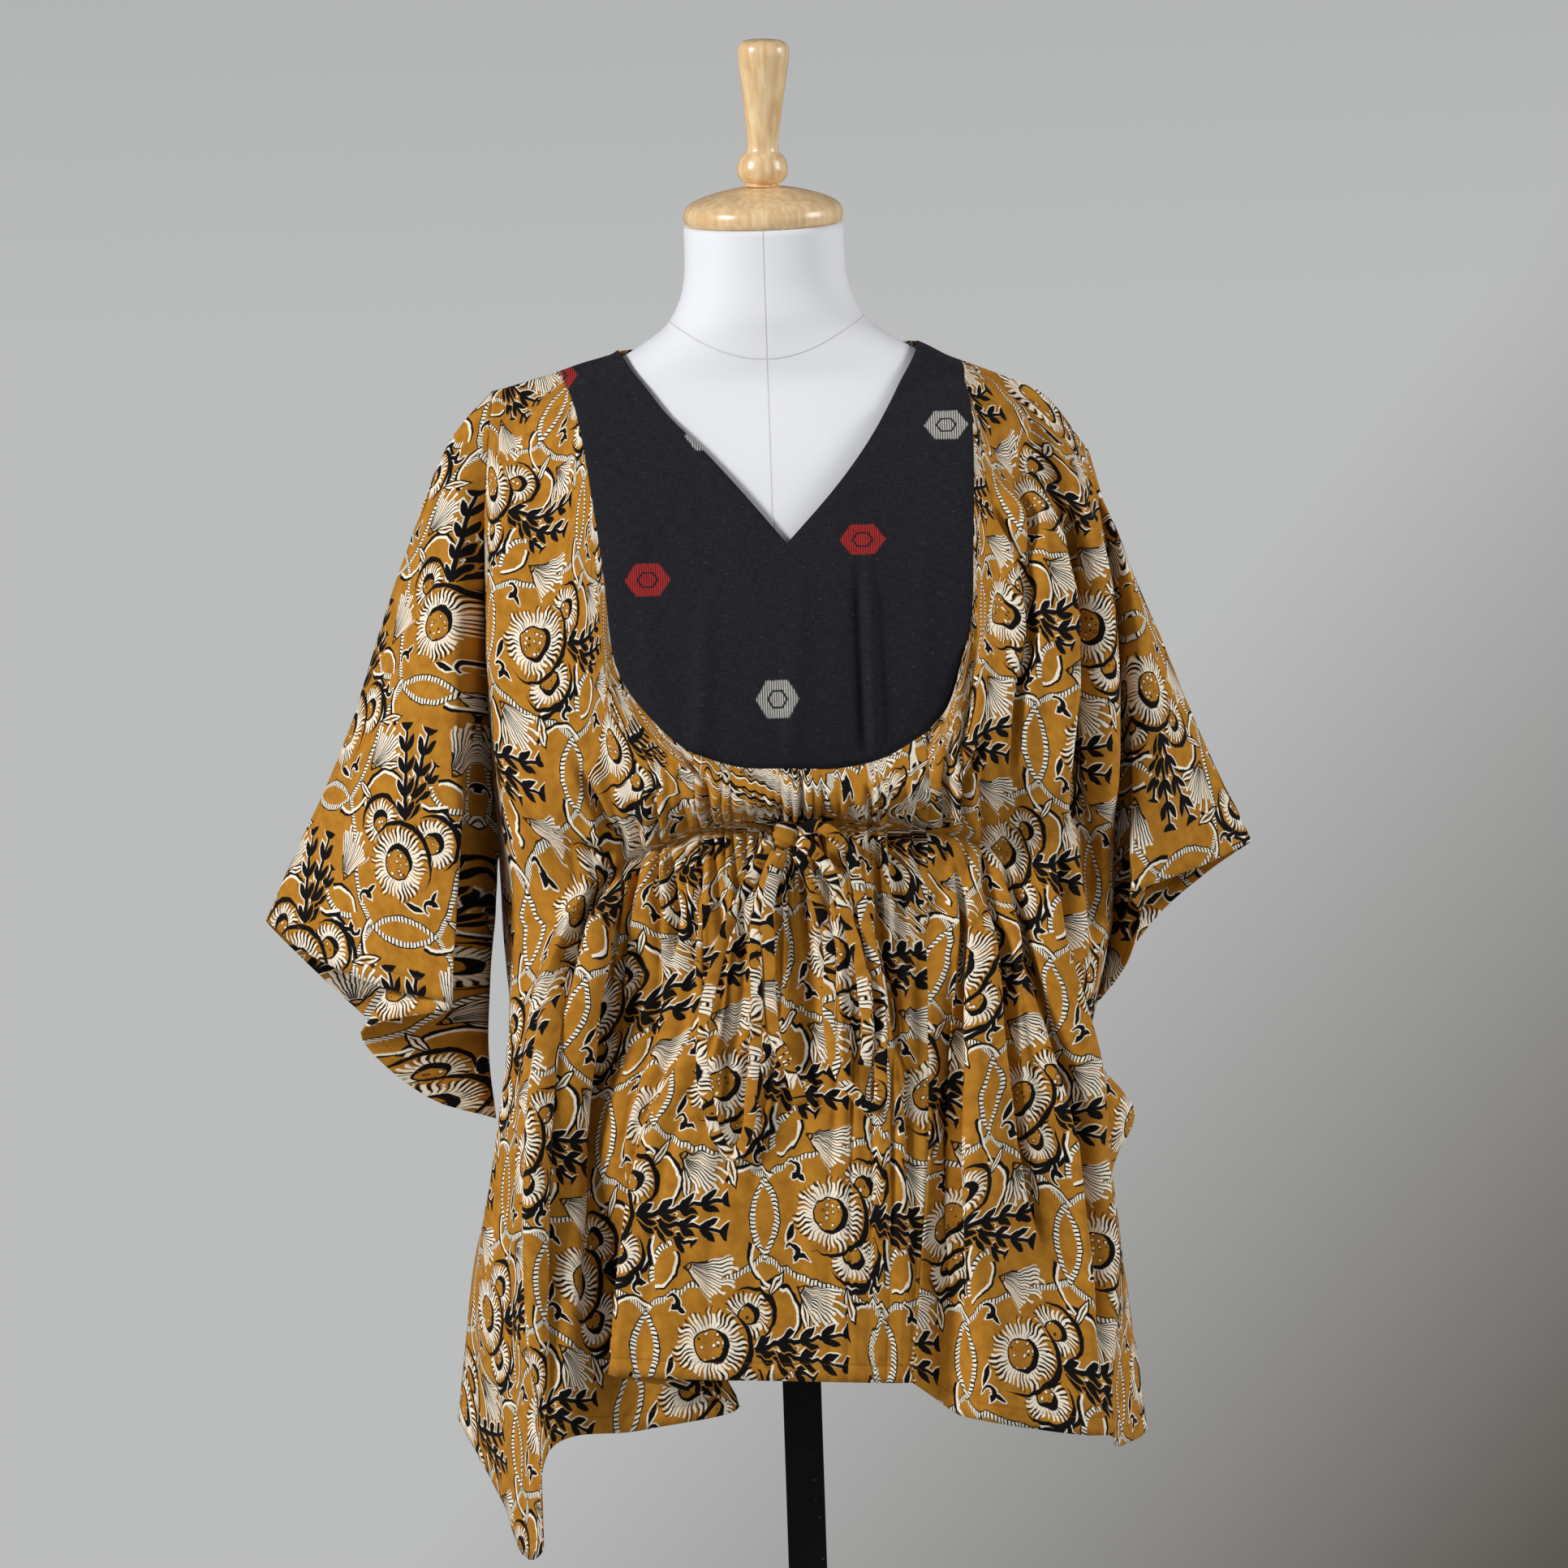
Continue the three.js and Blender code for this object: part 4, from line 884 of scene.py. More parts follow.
class Finish:
    """A material under construction: its tree, its shader and the few node kinds that finishes share."""

    def __init__(self, name: str, roughness: float, shine: float = 0.5) -> None:
        """Starts a material with one plain shader of that roughness and mirror strength."""
        self.material = bpy.data.materials.new(name)
        self.material.use_nodes = True
        self.tree = self.material.node_tree
        self.shader = self.tree.nodes["Principled BSDF"]
        self.shader.inputs["Roughness"].default_value = roughness
        self.shader.inputs["Specular IOR Level"].default_value = shine

    def link(self, value: Wire, socket: str) -> None:
        """Feeds a number to the shader."""
        self.tree.links.new(value.socket, self.shader.inputs[socket])

    def uv(self, layer: str) -> tuple[Wire, Wire]:
        """The two coordinates of a UV layer, in millimetres."""
        node = self.tree.nodes.new("ShaderNodeUVMap")
        node.uv_map = layer
        apart = self.tree.nodes.new("ShaderNodeSeparateXYZ")
        self.tree.links.new(node.outputs[0], apart.inputs[0])
        return Wire(self.tree, apart.outputs[0]) * (1 / MM), Wire(self.tree, apart.outputs[1]) * (1 / MM)

    def place(self) -> tuple[Wire, Wire, Wire]:
        """The place on the object in millimetres."""
        node = self.tree.nodes.new("ShaderNodeTexCoord")
        apart = self.tree.nodes.new("ShaderNodeSeparateXYZ")
        self.tree.links.new(node.outputs["Object"], apart.inputs[0])
        return tuple(Wire(self.tree, out) * (1 / MM) for out in apart.outputs)

    def vector(self, x: Number, y: Number, z: Number = 0.0) -> bpy.types.NodeSocket:
        """Three numbers joined into one vector."""
        node = self.tree.nodes.new("ShaderNodeCombineXYZ")
        for slot, value in zip(node.inputs, (x, y, z)):
            feed(self.tree, value, slot)
        return node.outputs[0]

    def noise(self, at: bpy.types.NodeSocket, scale: float, detail: float = 2.0) -> tuple[Wire, Wire, Wire]:
        """Three smooth noises, each about 0.5."""
        node = self.tree.nodes.new("ShaderNodeTexNoise")
        node.inputs["Scale"].default_value = scale
        node.inputs["Detail"].default_value = detail
        self.tree.links.new(at, node.inputs["Vector"])
        apart = self.tree.nodes.new("ShaderNodeSeparateColor")
        self.tree.links.new(node.outputs["Color"], apart.inputs[0])
        return tuple(Wire(self.tree, out) for out in apart.outputs)

    def mix(
        self, amount: Wire, first: Colour | bpy.types.NodeSocket, second: Colour | bpy.types.NodeSocket
    ) -> bpy.types.NodeSocket:
        """A blend from the first colour to the second."""
        node = self.tree.nodes.new("ShaderNodeMix")
        node.data_type = "RGBA"
        for slot, value in ((0, amount), (6, first), (7, second)):
            feed(self.tree, value, node.inputs[slot])
        return node.outputs[2]

    def colour(self, colour: Colour | bpy.types.NodeSocket) -> None:
        """Gives the shader its colour."""
        feed(self.tree, colour, self.shader.inputs["Base Color"])

    def bump(self, height: Wire, distance: float, strength: float = 1.0) -> None:
        """Gives the shader a fine relief of that depth in metres."""
        node = self.tree.nodes.new("ShaderNodeBump")
        node.inputs["Strength"].default_value = strength
        node.inputs["Distance"].default_value = distance
        self.tree.links.new(height.socket, node.inputs["Height"])
        self.tree.links.new(node.outputs[0], self.shader.inputs["Normal"])

    def sheen(self, weight: float, roughness: float = 0.5) -> None:
        """Gives the shader a cloth's soft bloom."""
        self.shader.inputs["Sheen Weight"].default_value = weight
        self.shader.inputs["Sheen Roughness"].default_value = roughness


@dataclass(frozen=True)
class PrintedCotton:
    """Ochre cotton printed by hand block: cream resist motifs outlined in black.

    Attributes:
        hem: how far from the edge the hem is stitched, in millimetres.
        wander: how far the hand-cut lines stray from their places, in millimetres.
        seed_scale: seed dots to a millimetre, before they are shaken out of their rows.
        stitch_scale: hem stitches to a millimetre.
    """

    ochre: Colour = linear(186, 128, 40)
    deep_ochre: Colour = linear(158, 102, 28)
    cream: Colour = linear(246, 236, 216)
    black: Colour = linear(13, 10, 10)
    thread: Colour = linear(120, 74, 26)
    hem: float = 12.0
    wander: float = 3.4
    seed_scale: float = 0.235
    stitch_scale: float = 0.4
    repeat: Repeat = Repeat()
    links: tuple[Link, ...] = (Link(Place(-4, 42), 43, 20), Link(Place(-4, -49), 43, -20))
    lens: Lens = Lens(Place(-46, -3.5), 8.5, 25.5)
    stems: tuple[Stem, ...] = (
        Stem(Place(41, 21, 20), 22, 88, 1.3, 0.35),
        Stem(Place(10, -20, -42), 33, 46, 1.5, -0.5),
        Stem(Place(74, -24, 168), 34, 34, 1.1, 0.5),
        Stem(Place(52, 62, 200), 25, 42, 0.9, -0.5),
        Stem(Place(28, -78, 96), 20, 58, 1.0, 0.5),
        Stem(Place(-42, 58, -30), 20, 50, 0.9, 0.4),
    )
    ropes: tuple[Rope, ...] = (Rope(Place(66, -42, 150), 24, 44),)
    sprigs: tuple[Sprig, ...] = (
        Sprig(Place(53, -14, -24), 44, 13.5, 12),
        Sprig(Place(64, -9, -7), 66, 15, 14),
        Sprig(Place(64, 3.5, 11), 68, 15.5, 14),
    )
    fans: tuple[Fan, ...] = (
        Fan(Place(-19, 54, -20), 40, 33, 13, 3),
        Fan(Place(60, 41, -33), 40, 32, 12, 17),
    )
    leaves: tuple[Leaf, ...] = (
        Leaf(Place(46, 42, 60), 11, 3.0),
        Leaf(Place(14, -62, -76), 13, 3.4),
        Leaf(Place(-28, -14, 74), 8, 2.2, True),
        Leaf(Place(66, 20, -80), 12, 3.2),
        Leaf(Place(-20, 84, 12), 10, 2.6, True),
    )
    hooks: tuple[Hook, ...] = (
        Hook(Place(-27, 30, 20), 4.2),
        Hook(Place(-27, -27, 40), 4.4),
        Hook(Place(34, -52, 160), 4.0),
    )
    small_flowers: tuple[Flower, ...] = (
        Flower(Place(26, 21), 17.5, 6.5, 25, 11, 25),
        Flower(Place(17, -28), 18.5, 7, 27, 23, -55),
    )
    flower: Flower = Flower(Place(0, 0), 26.5, 11.5, 37, 5)

    def build(self) -> bpy.types.Material:
        """Makes the material, which reads the UV layer called print in cloth metres."""
        finish = Finish("printed_cotton", 0.86, 0.12)
        raw_u, raw_v = finish.uv("print")
        flat = finish.vector(raw_u, raw_v)
        drift, drift_v, tone = finish.noise(flat, 0.11, 2.0)
        u = drift.times_plus(self.wander, raw_u - self.wander / 2)
        v = drift_v.times_plus(self.wander, raw_v - self.wander / 2)
        seeds_node = finish.tree.nodes.new("ShaderNodeTexVoronoi")
        seeds_node.inputs["Scale"].default_value = self.seed_scale
        seeds_node.inputs["Randomness"].default_value = 0.55
        finish.tree.links.new(finish.vector(u, v), seeds_node.inputs["Vector"])
        seeds = Wire(finish.tree, seeds_node.outputs["Distance"])
        inks = Inks(u * 0.0, u * 0.0)
        lines = (*self.links, self.lens, *self.ropes, *self.stems)
        for motif in (*lines, *self.leaves, *self.fans, *self.sprigs, *self.hooks):
            motif.print_on(inks, self.repeat, u, v)
        for motif in (*self.small_flowers, self.flower):
            motif.print_on(inks, self.repeat, u, v, seeds)
        ground = finish.mix(tone.times_plus(2.2, -0.75, clamp=True), self.ochre, self.deep_ochre)
        printed = finish.mix(inks.black, finish.mix(inks.cream, ground, self.cream), self.black)
        hem, _ = finish.uv("hem")
        stitches = (raw_u * self.stitch_scale).math("FRACT").above(0.3, 0.2)
        stitch = (hem - self.hem).size().below(0.3) * stitches
        printed = finish.mix(stitch * 0.7, printed, self.thread)
        finish.colour(printed)
        weave, _, _ = finish.noise(flat, 1.3, 3.0)
        fold = (hem - self.hem).size().below(1.0, 1.2)
        finish.bump(weave.times_plus(1.0, fold * -1.6), 0.0004, 0.5)
        finish.sheen(0.02)
        return finish.material


class Thread(Enum):
    """The two colours of thread that the woven hexagons are drawn in."""

    WHITE = linear(212, 208, 200)
    RED = linear(204, 48, 44)


@dataclass(frozen=True)
class Hexagon:
    """One woven hexagon: its middle and its size, in millimetres, and its thread."""

    x: float
    z: float
    wide: float
    tall: float
    thread: Thread


@dataclass(frozen=True)
class Handloom:
    """Near-black handwoven cotton with pale slubs and a few inlaid hexagons of fine stripes."""

    black: Colour = linear(22, 21, 26)
    grey: Colour = linear(44, 44, 50)
    slub: Colour = linear(150, 148, 146)
    stripe_scale: float = 0.62
    hexagons: tuple[Hexagon, ...] = (
        Hexagon(-44, 1317, 31, 24, Thread.WHITE),
        Hexagon(122, 1319, 31, 23, Thread.WHITE),
        Hexagon(-88, 1218, 32, 26, Thread.RED),
        Hexagon(61, 1241, 32, 24, Thread.RED),
        Hexagon(-1, 1133, 30, 30, Thread.WHITE),
        Hexagon(-148, 1364, 30, 24, Thread.RED),
    )

    def build(self) -> bpy.types.Material:
        """Makes the material, which reads the UV layer called print in cloth metres."""
        finish = Finish("black_handloom", 0.9, 0.10)
        u, v = finish.uv("print")
        warp, thick, _ = finish.noise(finish.vector(u * 3.2, v * 0.16), 1.0, 2.0)
        weft, fleck, _ = finish.noise(finish.vector(u * 0.12, v * 3.0), 1.0, 2.0)
        thread = (warp + weft).times_plus(1.6, -1.1, clamp=True)
        cloth = finish.mix(thread, self.black, self.grey)
        specks, _, _ = finish.noise(finish.vector(u * 0.22, v * 1.5), 1.0, 2.0)
        pale = specks.above(0.7, 0.05) * thick.above(0.5, 0.1)
        cloth = finish.mix(pale * 0.35, cloth, self.slub)
        for hexagon in self.hexagons:
            x, y = u - hexagon.x, (v - hexagon.z) * (hexagon.wide / hexagon.tall)
            out = (x.size() * 0.866 + y.size() * 0.5).at_least(y.size()) - hexagon.wide * 0.43
            stripe = (u * self.stripe_scale).math("FRACT").times_plus(1.0, -0.5).size().below(0.31, 0.2)
            inner = (out + hexagon.wide * 0.24).size().above(0.7, 0.5)
            ragged = out.below(warp.times_plus(2.6, -1.3), 0.9)
            shown = ragged * stripe * inner * thread.times_plus(0.4, 0.55)
            cloth = finish.mix(shown, cloth, hexagon.thread.value)
        finish.colour(cloth)
        finish.bump(warp + weft + fleck, 0.0003, 0.5)
        finish.sheen(0.02, 0.4)
        return finish.material


@dataclass(frozen=True)
class FormCover:
    """The form's white stretch cover, with its centre-front seam and neck-base seam."""

    white: Colour = linear(234, 235, 239)
    seam: Colour = linear(190, 187, 182)

    def build(self) -> bpy.types.Material:
        """Makes the material from the place on the form."""
        finish = Finish("form_cover", 0.8, 0.25)
        x, y, z = finish.place()
        front = y.below(0.0, 4.0)
        middle = x.size().below(0.5, 0.7) * front
        collar = z - (x * x).times_plus(0.0066, 1369.0)
        base = collar.size().below(0.55, 0.8) * y.below(20.0, 10.0)
        line = middle.at_least(base)
        grain, _, _ = finish.noise(finish.vector(x, y, z), 0.9, 2.0)
        finish.colour(finish.mix(line * 0.45, self.white, self.seam))
        finish.bump(grain.times_plus(0.25, line * -1.0), 0.0006, 0.6)
        finish.sheen(0.35, 0.45)
        return finish.material


@dataclass(frozen=True)
class TurnedWood:
    """Pale satin-varnished wood with a fine straight grain."""

    light: Colour = linear(244, 214, 166)
    dark: Colour = linear(218, 176, 124)

    def build(self) -> bpy.types.Material:
        """Makes the material from the place on the form."""
        finish = Finish("turned_wood", 0.32)
        x, y, z = finish.place()
        sway, _, _ = finish.noise(finish.vector(x * 0.02, y * 0.02, z * 0.006), 1.0, 2.0)
        grain, pores, _ = finish.noise(finish.vector(x + sway * 6.0, y, z * 0.045), 0.22, 4.0)
        finish.colour(finish.mix(grain.times_plus(2.6, -0.85, clamp=True), self.light, self.dark))
        finish.bump(pores, 0.0002, 0.3)
        finish.shader.inputs["Coat Weight"].default_value = 0.35
        finish.shader.inputs["Coat Roughness"].default_value = 0.2
        return finish.material


@dataclass(frozen=True)
class BlackPaint:
    """Worn satin black paint with small chips that show the brown wood."""

    black: Colour = linear(6, 6, 6)
    chip: Colour = linear(104, 70, 44)

    def build(self) -> bpy.types.Material:
        """Makes the material from the place on the form."""
        finish = Finish("black_paint", 0.42, 0.2)
        x, y, z = finish.place()
        chips, wear, _ = finish.noise(finish.vector(x, y, z), 0.16, 5.0)
        edge = x.size().at_least(y.size()).above(11.0, 2.0)
        shown = chips.above(0.7, 0.02) * edge
        finish.colour(finish.mix(shown, self.black, self.chip))
        finish.link(wear.times_plus(0.3, 0.4), "Roughness")
        finish.bump(chips.below(0.7, 0.05), 0.0003, 0.5)
        return finish.material


# ---- the garment ----------------------------------------------------------------------------------------


@dataclass(frozen=True)
class Cut:
    """A cut piece's flat width and length in metres, its flat area, how it is held and what it rests on."""

    flat: tuple[float, float]
    area: float
    held: str
    rests_on: tuple[str, ...]


@dataclass(frozen=True)
class Crease:
    """One sharp fold seen from the front: how deep, how wide, and its points across and up in millimetres."""

    deep: float
    wide: float
    line: tuple[tuple[float, float], ...]

    def height(self, x: np.ndarray, z: np.ndarray) -> np.ndarray:
        """The valley and its two soft shoulders, in millimetres, fading out at both ends."""
        nearest = np.full(x.shape, 1e9)
        share = np.zeros(x.shape)
        count = len(self.line) - 1
        for i, ((x0, z0), (x1, z1)) in enumerate(zip(self.line, self.line[1:])):
            leg_x, leg_z = x1 - x0, z1 - z0
            t = np.clip(((x - x0) * leg_x + (z - z0) * leg_z) / (leg_x**2 + leg_z**2), 0, 1)
            far = np.hypot(x - x0 - leg_x * t, z - z0 - leg_z * t)
            share = np.where(far < nearest, (i + t) / count, share)
            nearest = np.minimum(far, nearest)
        d = (nearest / self.wide) ** 2
        return self.deep * np.clip(6 * share * (1 - share), 0, 1) * (0.95 * np.exp(-d / 9) - 1.5 * np.exp(-d))


CREASES = (
    Crease(22.2, 4.9, ((-119, 1020), (-139, 987), (-154, 930), (-163, 859), (-167, 774), (-173, 637))),
    Crease(14.2, 3.8, ((115, 1027), (121, 964), (120, 890), (116, 793), (111, 708))),
    Crease(14.2, 4.1, ((136, 1018), (145, 955), (149, 889), (155, 820), (170, 748))),
    Crease(17.4, 4.9, ((150, 1017), (165, 954), (183, 888), (198, 819), (206, 733), (209, 647))),
    Crease(12.6, 4.6, ((190, 1030), (194, 962), (209, 887), (218, 818))),
    Crease(6.6, 2.6, ((-78, 1028), (-73, 985), (-80, 948))),
    Crease(6.1, 2.6, ((-55, 1030), (-62, 970), (-66, 936))),
    Crease(6.6, 3.0, ((-100, 1022), (-108, 972), (-116, 930))),
    Crease(6.6, 3.3, ((65, 1034), (63, 966), (77, 874), (77, 794))),
    Crease(5.3, 3.0, ((42, 1035), (51, 966), (50, 900))),
    Crease(7.0, 3.3, ((-70, 1101), (-53, 1078), (-49, 1044))),
    Crease(8.7, 3.0, ((120, 1110), (111, 1073), (112, 1038))),
    Crease(7.5, 2.6, ((139, 1106), (123, 1072), (121, 1038))),
    Crease(5.3, 2.6, ((13, 1085), (13, 1052))),
    Crease(6.1, 2.6, ((58, 1076), (62, 1030))),
    Crease(8.7, 4.3, ((-142, 1096), (-117, 1043))),
    Crease(9.8, 5.3, ((-188, 1060), (-146, 1036), (-122, 1030))),
    Crease(10.9, 4.3, ((166, 1286), (174, 1252), (174, 1170), (164, 1128), (158, 1071))),
    Crease(9.8, 4.0, ((206, 1229), (203, 1141), (198, 1098), (194, 1058))),
    Crease(7.6, 4.0, ((150, 1270), (166, 1228), (171, 1185))),
    Crease(8.7, 4.0, ((138, 1172), (131, 1129), (119, 1072))),
    Crease(17.2, 7.9, ((198, 1290), (208, 1200), (206, 1090), (202, 1030))),
)


@dataclass(frozen=True)
class YokeFold:
    """One soft fold of the yoke: its top and foot across and up, its height and its width, in millimetres."""

    top: tuple[float, float]
    foot: tuple[float, float]
    high: float
    wide: float

    def height(self, x: np.ndarray, z: np.ndarray) -> np.ndarray:
        """The fold's height at each place, fading out past both ends."""
        (x0, z0), (x1, z1) = self.top, self.foot
        t = np.clip((z0 - z) / (z0 - z1), -0.2, 1.2)
        near = np.exp(-(((x - (x0 + (x1 - x0) * t)) / self.wide) ** 2))
        length = np.clip((t + 0.1) * 3, 0, 1) * np.clip((1.15 - t) * 4, 0, 1)
        return self.high * near * length


YOKE_FOLDS = (
    YokeFold((64.5, 1232), (64.5, 1086), 5.0, 3.0),
    YokeFold((57, 1232), (58, 1086), -2.6, 4.0),
    YokeFold((-48, 1200), (-56, 1080), 3.4, 7.0),
    YokeFold((20, 1236), (6, 1078), 3.0, 8.0),
    YokeFold((-98, 1260), (-84, 1120), 2.2, 8.0),
    YokeFold((104, 1250), (96, 1120), 2.2, 7.0),
)


@dataclass(frozen=True)
class BodyLay:
    """Where the print starts on a body piece, and how far it slips above the casing, in millimetres."""

    u: float = 0.0
    v: float = 0.0
    slip_u: float = 0.0
    slip_v: float = 0.0


@dataclass(frozen=True)
class SleeveLay:
    """How the print lies on a sleeve: its lean outwards in radians and its start in millimetres."""

    lean: float
    u: float
    v: float


@dataclass
class Kaftan:
    """The seven cut-and-sewn pieces, drawn from their fold lines and creased like soft cotton.

    Attributes:
        finer_across: fine facets to each coarse one, across a piece.
        finer_down: fine facets to each coarse one, down a piece.
        yoke_steps: coarse facets between the yoke's neck edge and its outer seam.
        sleeve_steps: coarse facets between an armhole and its cuff.
        finer_sleeve: fine facets to each coarse one, down a sleeve.
        wall: the cloth's thickness in millimetres.
        pinch: how deep the casing is drawn in.
        gather: how high the small gathers by the casing stand.
        gather_pitch: the spacing of the gathers round the waist.
        drape: how high the long folds stand.
        drape_pitch: the spacing of the long folds.
        crumple: how high the cloth's small creases stand.
        swell: how high its softest uneven places stand.
        creases: the sharp folds on the front.
        body_lays: how the print lies on each piece of the body.
        sleeve_lays: how the print lies on each sleeve.
        cuts: each piece's flat size and what it rests on.
        grids: each piece's points, once shaped.
        normals: each piece's outward directions, once shaped.
    """

    finer_across: int = 7
    finer_down: int = 8
    finer_sleeve: int = 6
    yoke_steps: int = 4
    sleeve_steps: int = 8
    wall: float = 0.9
    pinch: float = 5.0
    gather: float = 8.6
    gather_pitch: float = 12.5
    drape: float = 8.5
    drape_pitch: float = 27.0
    crumple: float = 0.55
    swell: float = 1.1
    creases: tuple[Crease, ...] = CREASES
    body_lays: dict[str, BodyLay] = field(default_factory=lambda: {
        "front_left": BodyLay(4.0, 20.0, 30.0, -24.0),
        "front_centre": BodyLay(64.0, 3.0, 50.0, -20.0),
        "front_right": BodyLay(50.0),
        "back": BodyLay(),
    })
    sleeve_lays: dict[str, SleeveLay] = field(default_factory=lambda: {
        "sleeve_left": SleeveLay(0.20, -30.0, 38.0),
        "sleeve_right": SleeveLay(0.36, 44.0, 42.0),
    })
    cuts: dict[str, Cut] = field(default_factory=lambda: {
        "yoke": Cut((0.29, 0.32), 0.063, "hung", ("form_torso",)),
        "front_left": Cut((0.38, 0.81), 0.190, "hung", ("form_torso",)),
        "front_centre": Cut((0.27, 0.46), 0.099, "hung", ("form_torso",)),
        "front_right": Cut((0.39, 0.76), 0.198, "hung", ("form_torso",)),
        "back": Cut((0.64, 0.76), 0.43, "hung", ("form_torso",)),
        "sleeve_left": Cut((0.50, 0.37), 0.139, "hung", ("form_torso",)),
        "sleeve_right": Cut((0.46, 0.25), 0.060, "hung", ("form_torso",)),
    })
    grids: dict[str, np.ndarray] = field(default_factory=dict)
    normals: dict[str, np.ndarray] = field(default_factory=dict)

    def body_grid(self, lines: Sequence[Fold], corners: Sequence[int] = ()) -> np.ndarray:
        """Lofts one body piece.

        Args:
            lines: its fold lines, left to right as seen from outside.
            corners: the lines at which the top edge turns a corner.

        Returns:
            A (columns, rows, 3) grid in millimetres.
        """
        rows = stops(STEPS, self.finer_down)
        across = stops([line.facets for line in lines[:-1]], self.finer_across)
        paths = []
        for line in lines:
            kinks = (UNDERARM,) if line.side else ()
            paths.append(bend(np.array(line.points, float)[:, None, :], rows, kinks)[:, 0])
        grid = bend(np.stack(paths), across)
        if corners:
            tops = np.array([line.points[0] for line in lines], float)[:, None, :]
            edge = bend(tops, across, corners) - bend(tops, across)
            grid = grid + edge * (np.clip(1 - rows, 0, None) ** 2)[None, :, None]
        return grid

    def column_of(self, lines: Sequence[Fold], index: int) -> int:
        """The fine column that a fold line runs down."""
        return sum(line.facets for line in lines[:index]) * self.finer_across

    def yoke_grid(self) -> np.ndarray:
        """Lofts the yoke between the neck slit's edge and the top edges of the three front pieces."""
        left = self.grids["front_left"][self.column_of(FRONT_LEFT, 2):, 0]
        centre = self.grids["front_centre"][1:, 0]
        right = self.grids["front_right"][1:self.column_of(FRONT_RIGHT, 5) + 1, 0]
        seam = np.concatenate([left, centre, right])
        middle = len(left) - 1 + self.column_of(FRONT_CENTRE, 2)
        reach = lengths(seam[:, None], 0)[:, 0]
        point, end = reach[middle], reach[-1]
        left_share = (reach[:middle + 1] / point) ** 0.92
        right_share = 1 - (1 - (reach[middle + 1:] - point) / (end - point)) ** 0.92
        inner = np.concatenate([
            curve(NECK_LEFT, left_share * (len(NECK_LEFT) - 1)),
            curve(NECK_RIGHT, right_share * (len(NECK_RIGHT) - 1)),
        ])
        bow = np.clip(np.sin(np.pi * reach / end), 0, None) ** 0.7
        t = np.linspace(0, 1, self.yoke_steps * self.finer_across + 1)[None, :, None]
        grid = inner[:, None] * (1 - t) + seam[:, None] * t
        flat = t[..., 0]
        grid[..., 1] -= 12 * bow[:, None] * 4 * flat * (1 - flat) * (0.6 + 0.4 * flat)
        return grid

    def sleeve_grid(self, lines: Sequence[SleeveFold], front: np.ndarray, back: np.ndarray) -> np.ndarray:
        """Lofts a sleeve from its armhole.

        Args:
            lines: its fold lines round the arm.
            front: the front piece's edge along the armhole.
            back: the back piece's edge along the armhole.

        Returns:
            A (columns, rows, 3) grid in millimetres.
        """
        rows = stops(STEPS, self.finer_down)
        rows = rows[rows <= UNDERARM + 1e-9]
        count = len(rows)
        at = np.concatenate([-rows[:0:-1], rows])
        seam = np.concatenate([back[:count][:0:-1], front[:count]])
        if lines[0].at > 0:
            at, seam = at[::-1], seam[::-1]
        starts = [int(np.argmin(np.abs(at - line.at))) for line in lines]
        spread = np.interp(np.arange(len(at)), starts, np.arange(len(lines)))
        down = np.linspace(0, 1, self.sleeve_steps * self.finer_sleeve + 1)
        paths = [curve([seam[k], *line.points], down * 4) for k, line in zip(starts, lines)]
        grid = bend(np.stack(paths), spread)
        return grid + (seam - grid[:, 0])[:, None] * ((1 - down) ** 3)[None, :, None]

    def settle(self, name: str, grid: np.ndarray) -> np.ndarray:
        """Presses the soft swells out of a piece's grid and keeps it clear of the form."""
        p = grid.copy()
        for swell in SWELLS:
            if swell.pieces and name not in swell.pieces:
                continue
            far = ((p - np.array(swell.at, float)) ** 2).sum(axis=2) / swell.reach**2
            p = p + np.exp(-far)[..., None] * np.array(swell.push, float)
        return clear_of_form(p, REST)

    def relief(self, name: str, p: np.ndarray) -> np.ndarray:
        """How far the cloth creases out of its smooth shape, in millimetres.

        Args:
            name: the piece.
            p: its points.

        Returns:
            One height for each point; neighbours agree along every seam.
        """
        height = self.crumples(p)
        if name.startswith("sleeve"):
            return height
        down = lengths(p, 1)
        if name != "back":
            height = height * np.clip(down / 22, 0, 1)
        return height + self.gathers(name, p, down)

    def crumples(self, p: np.ndarray) -> np.ndarray:
        """The small and the soft uneven places all over the cloth, which fade out at the neck."""
        x, y, z = p[..., 0], p[..., 1], p[..., 2]
        quiet = np.clip((NECK_EDGE - z) / 30, 0, 1)
        small = np.stack([x / 17, y / 17, z / 30], axis=-1)
        soft = np.stack([x / 34, y / 34, z / 120], axis=-1)
        height = self.crumple * quiet * (noise(small, 15) + 0.4 * noise(small * 2.1, 16))
        return height + self.swell * quiet * noise(soft, 17)

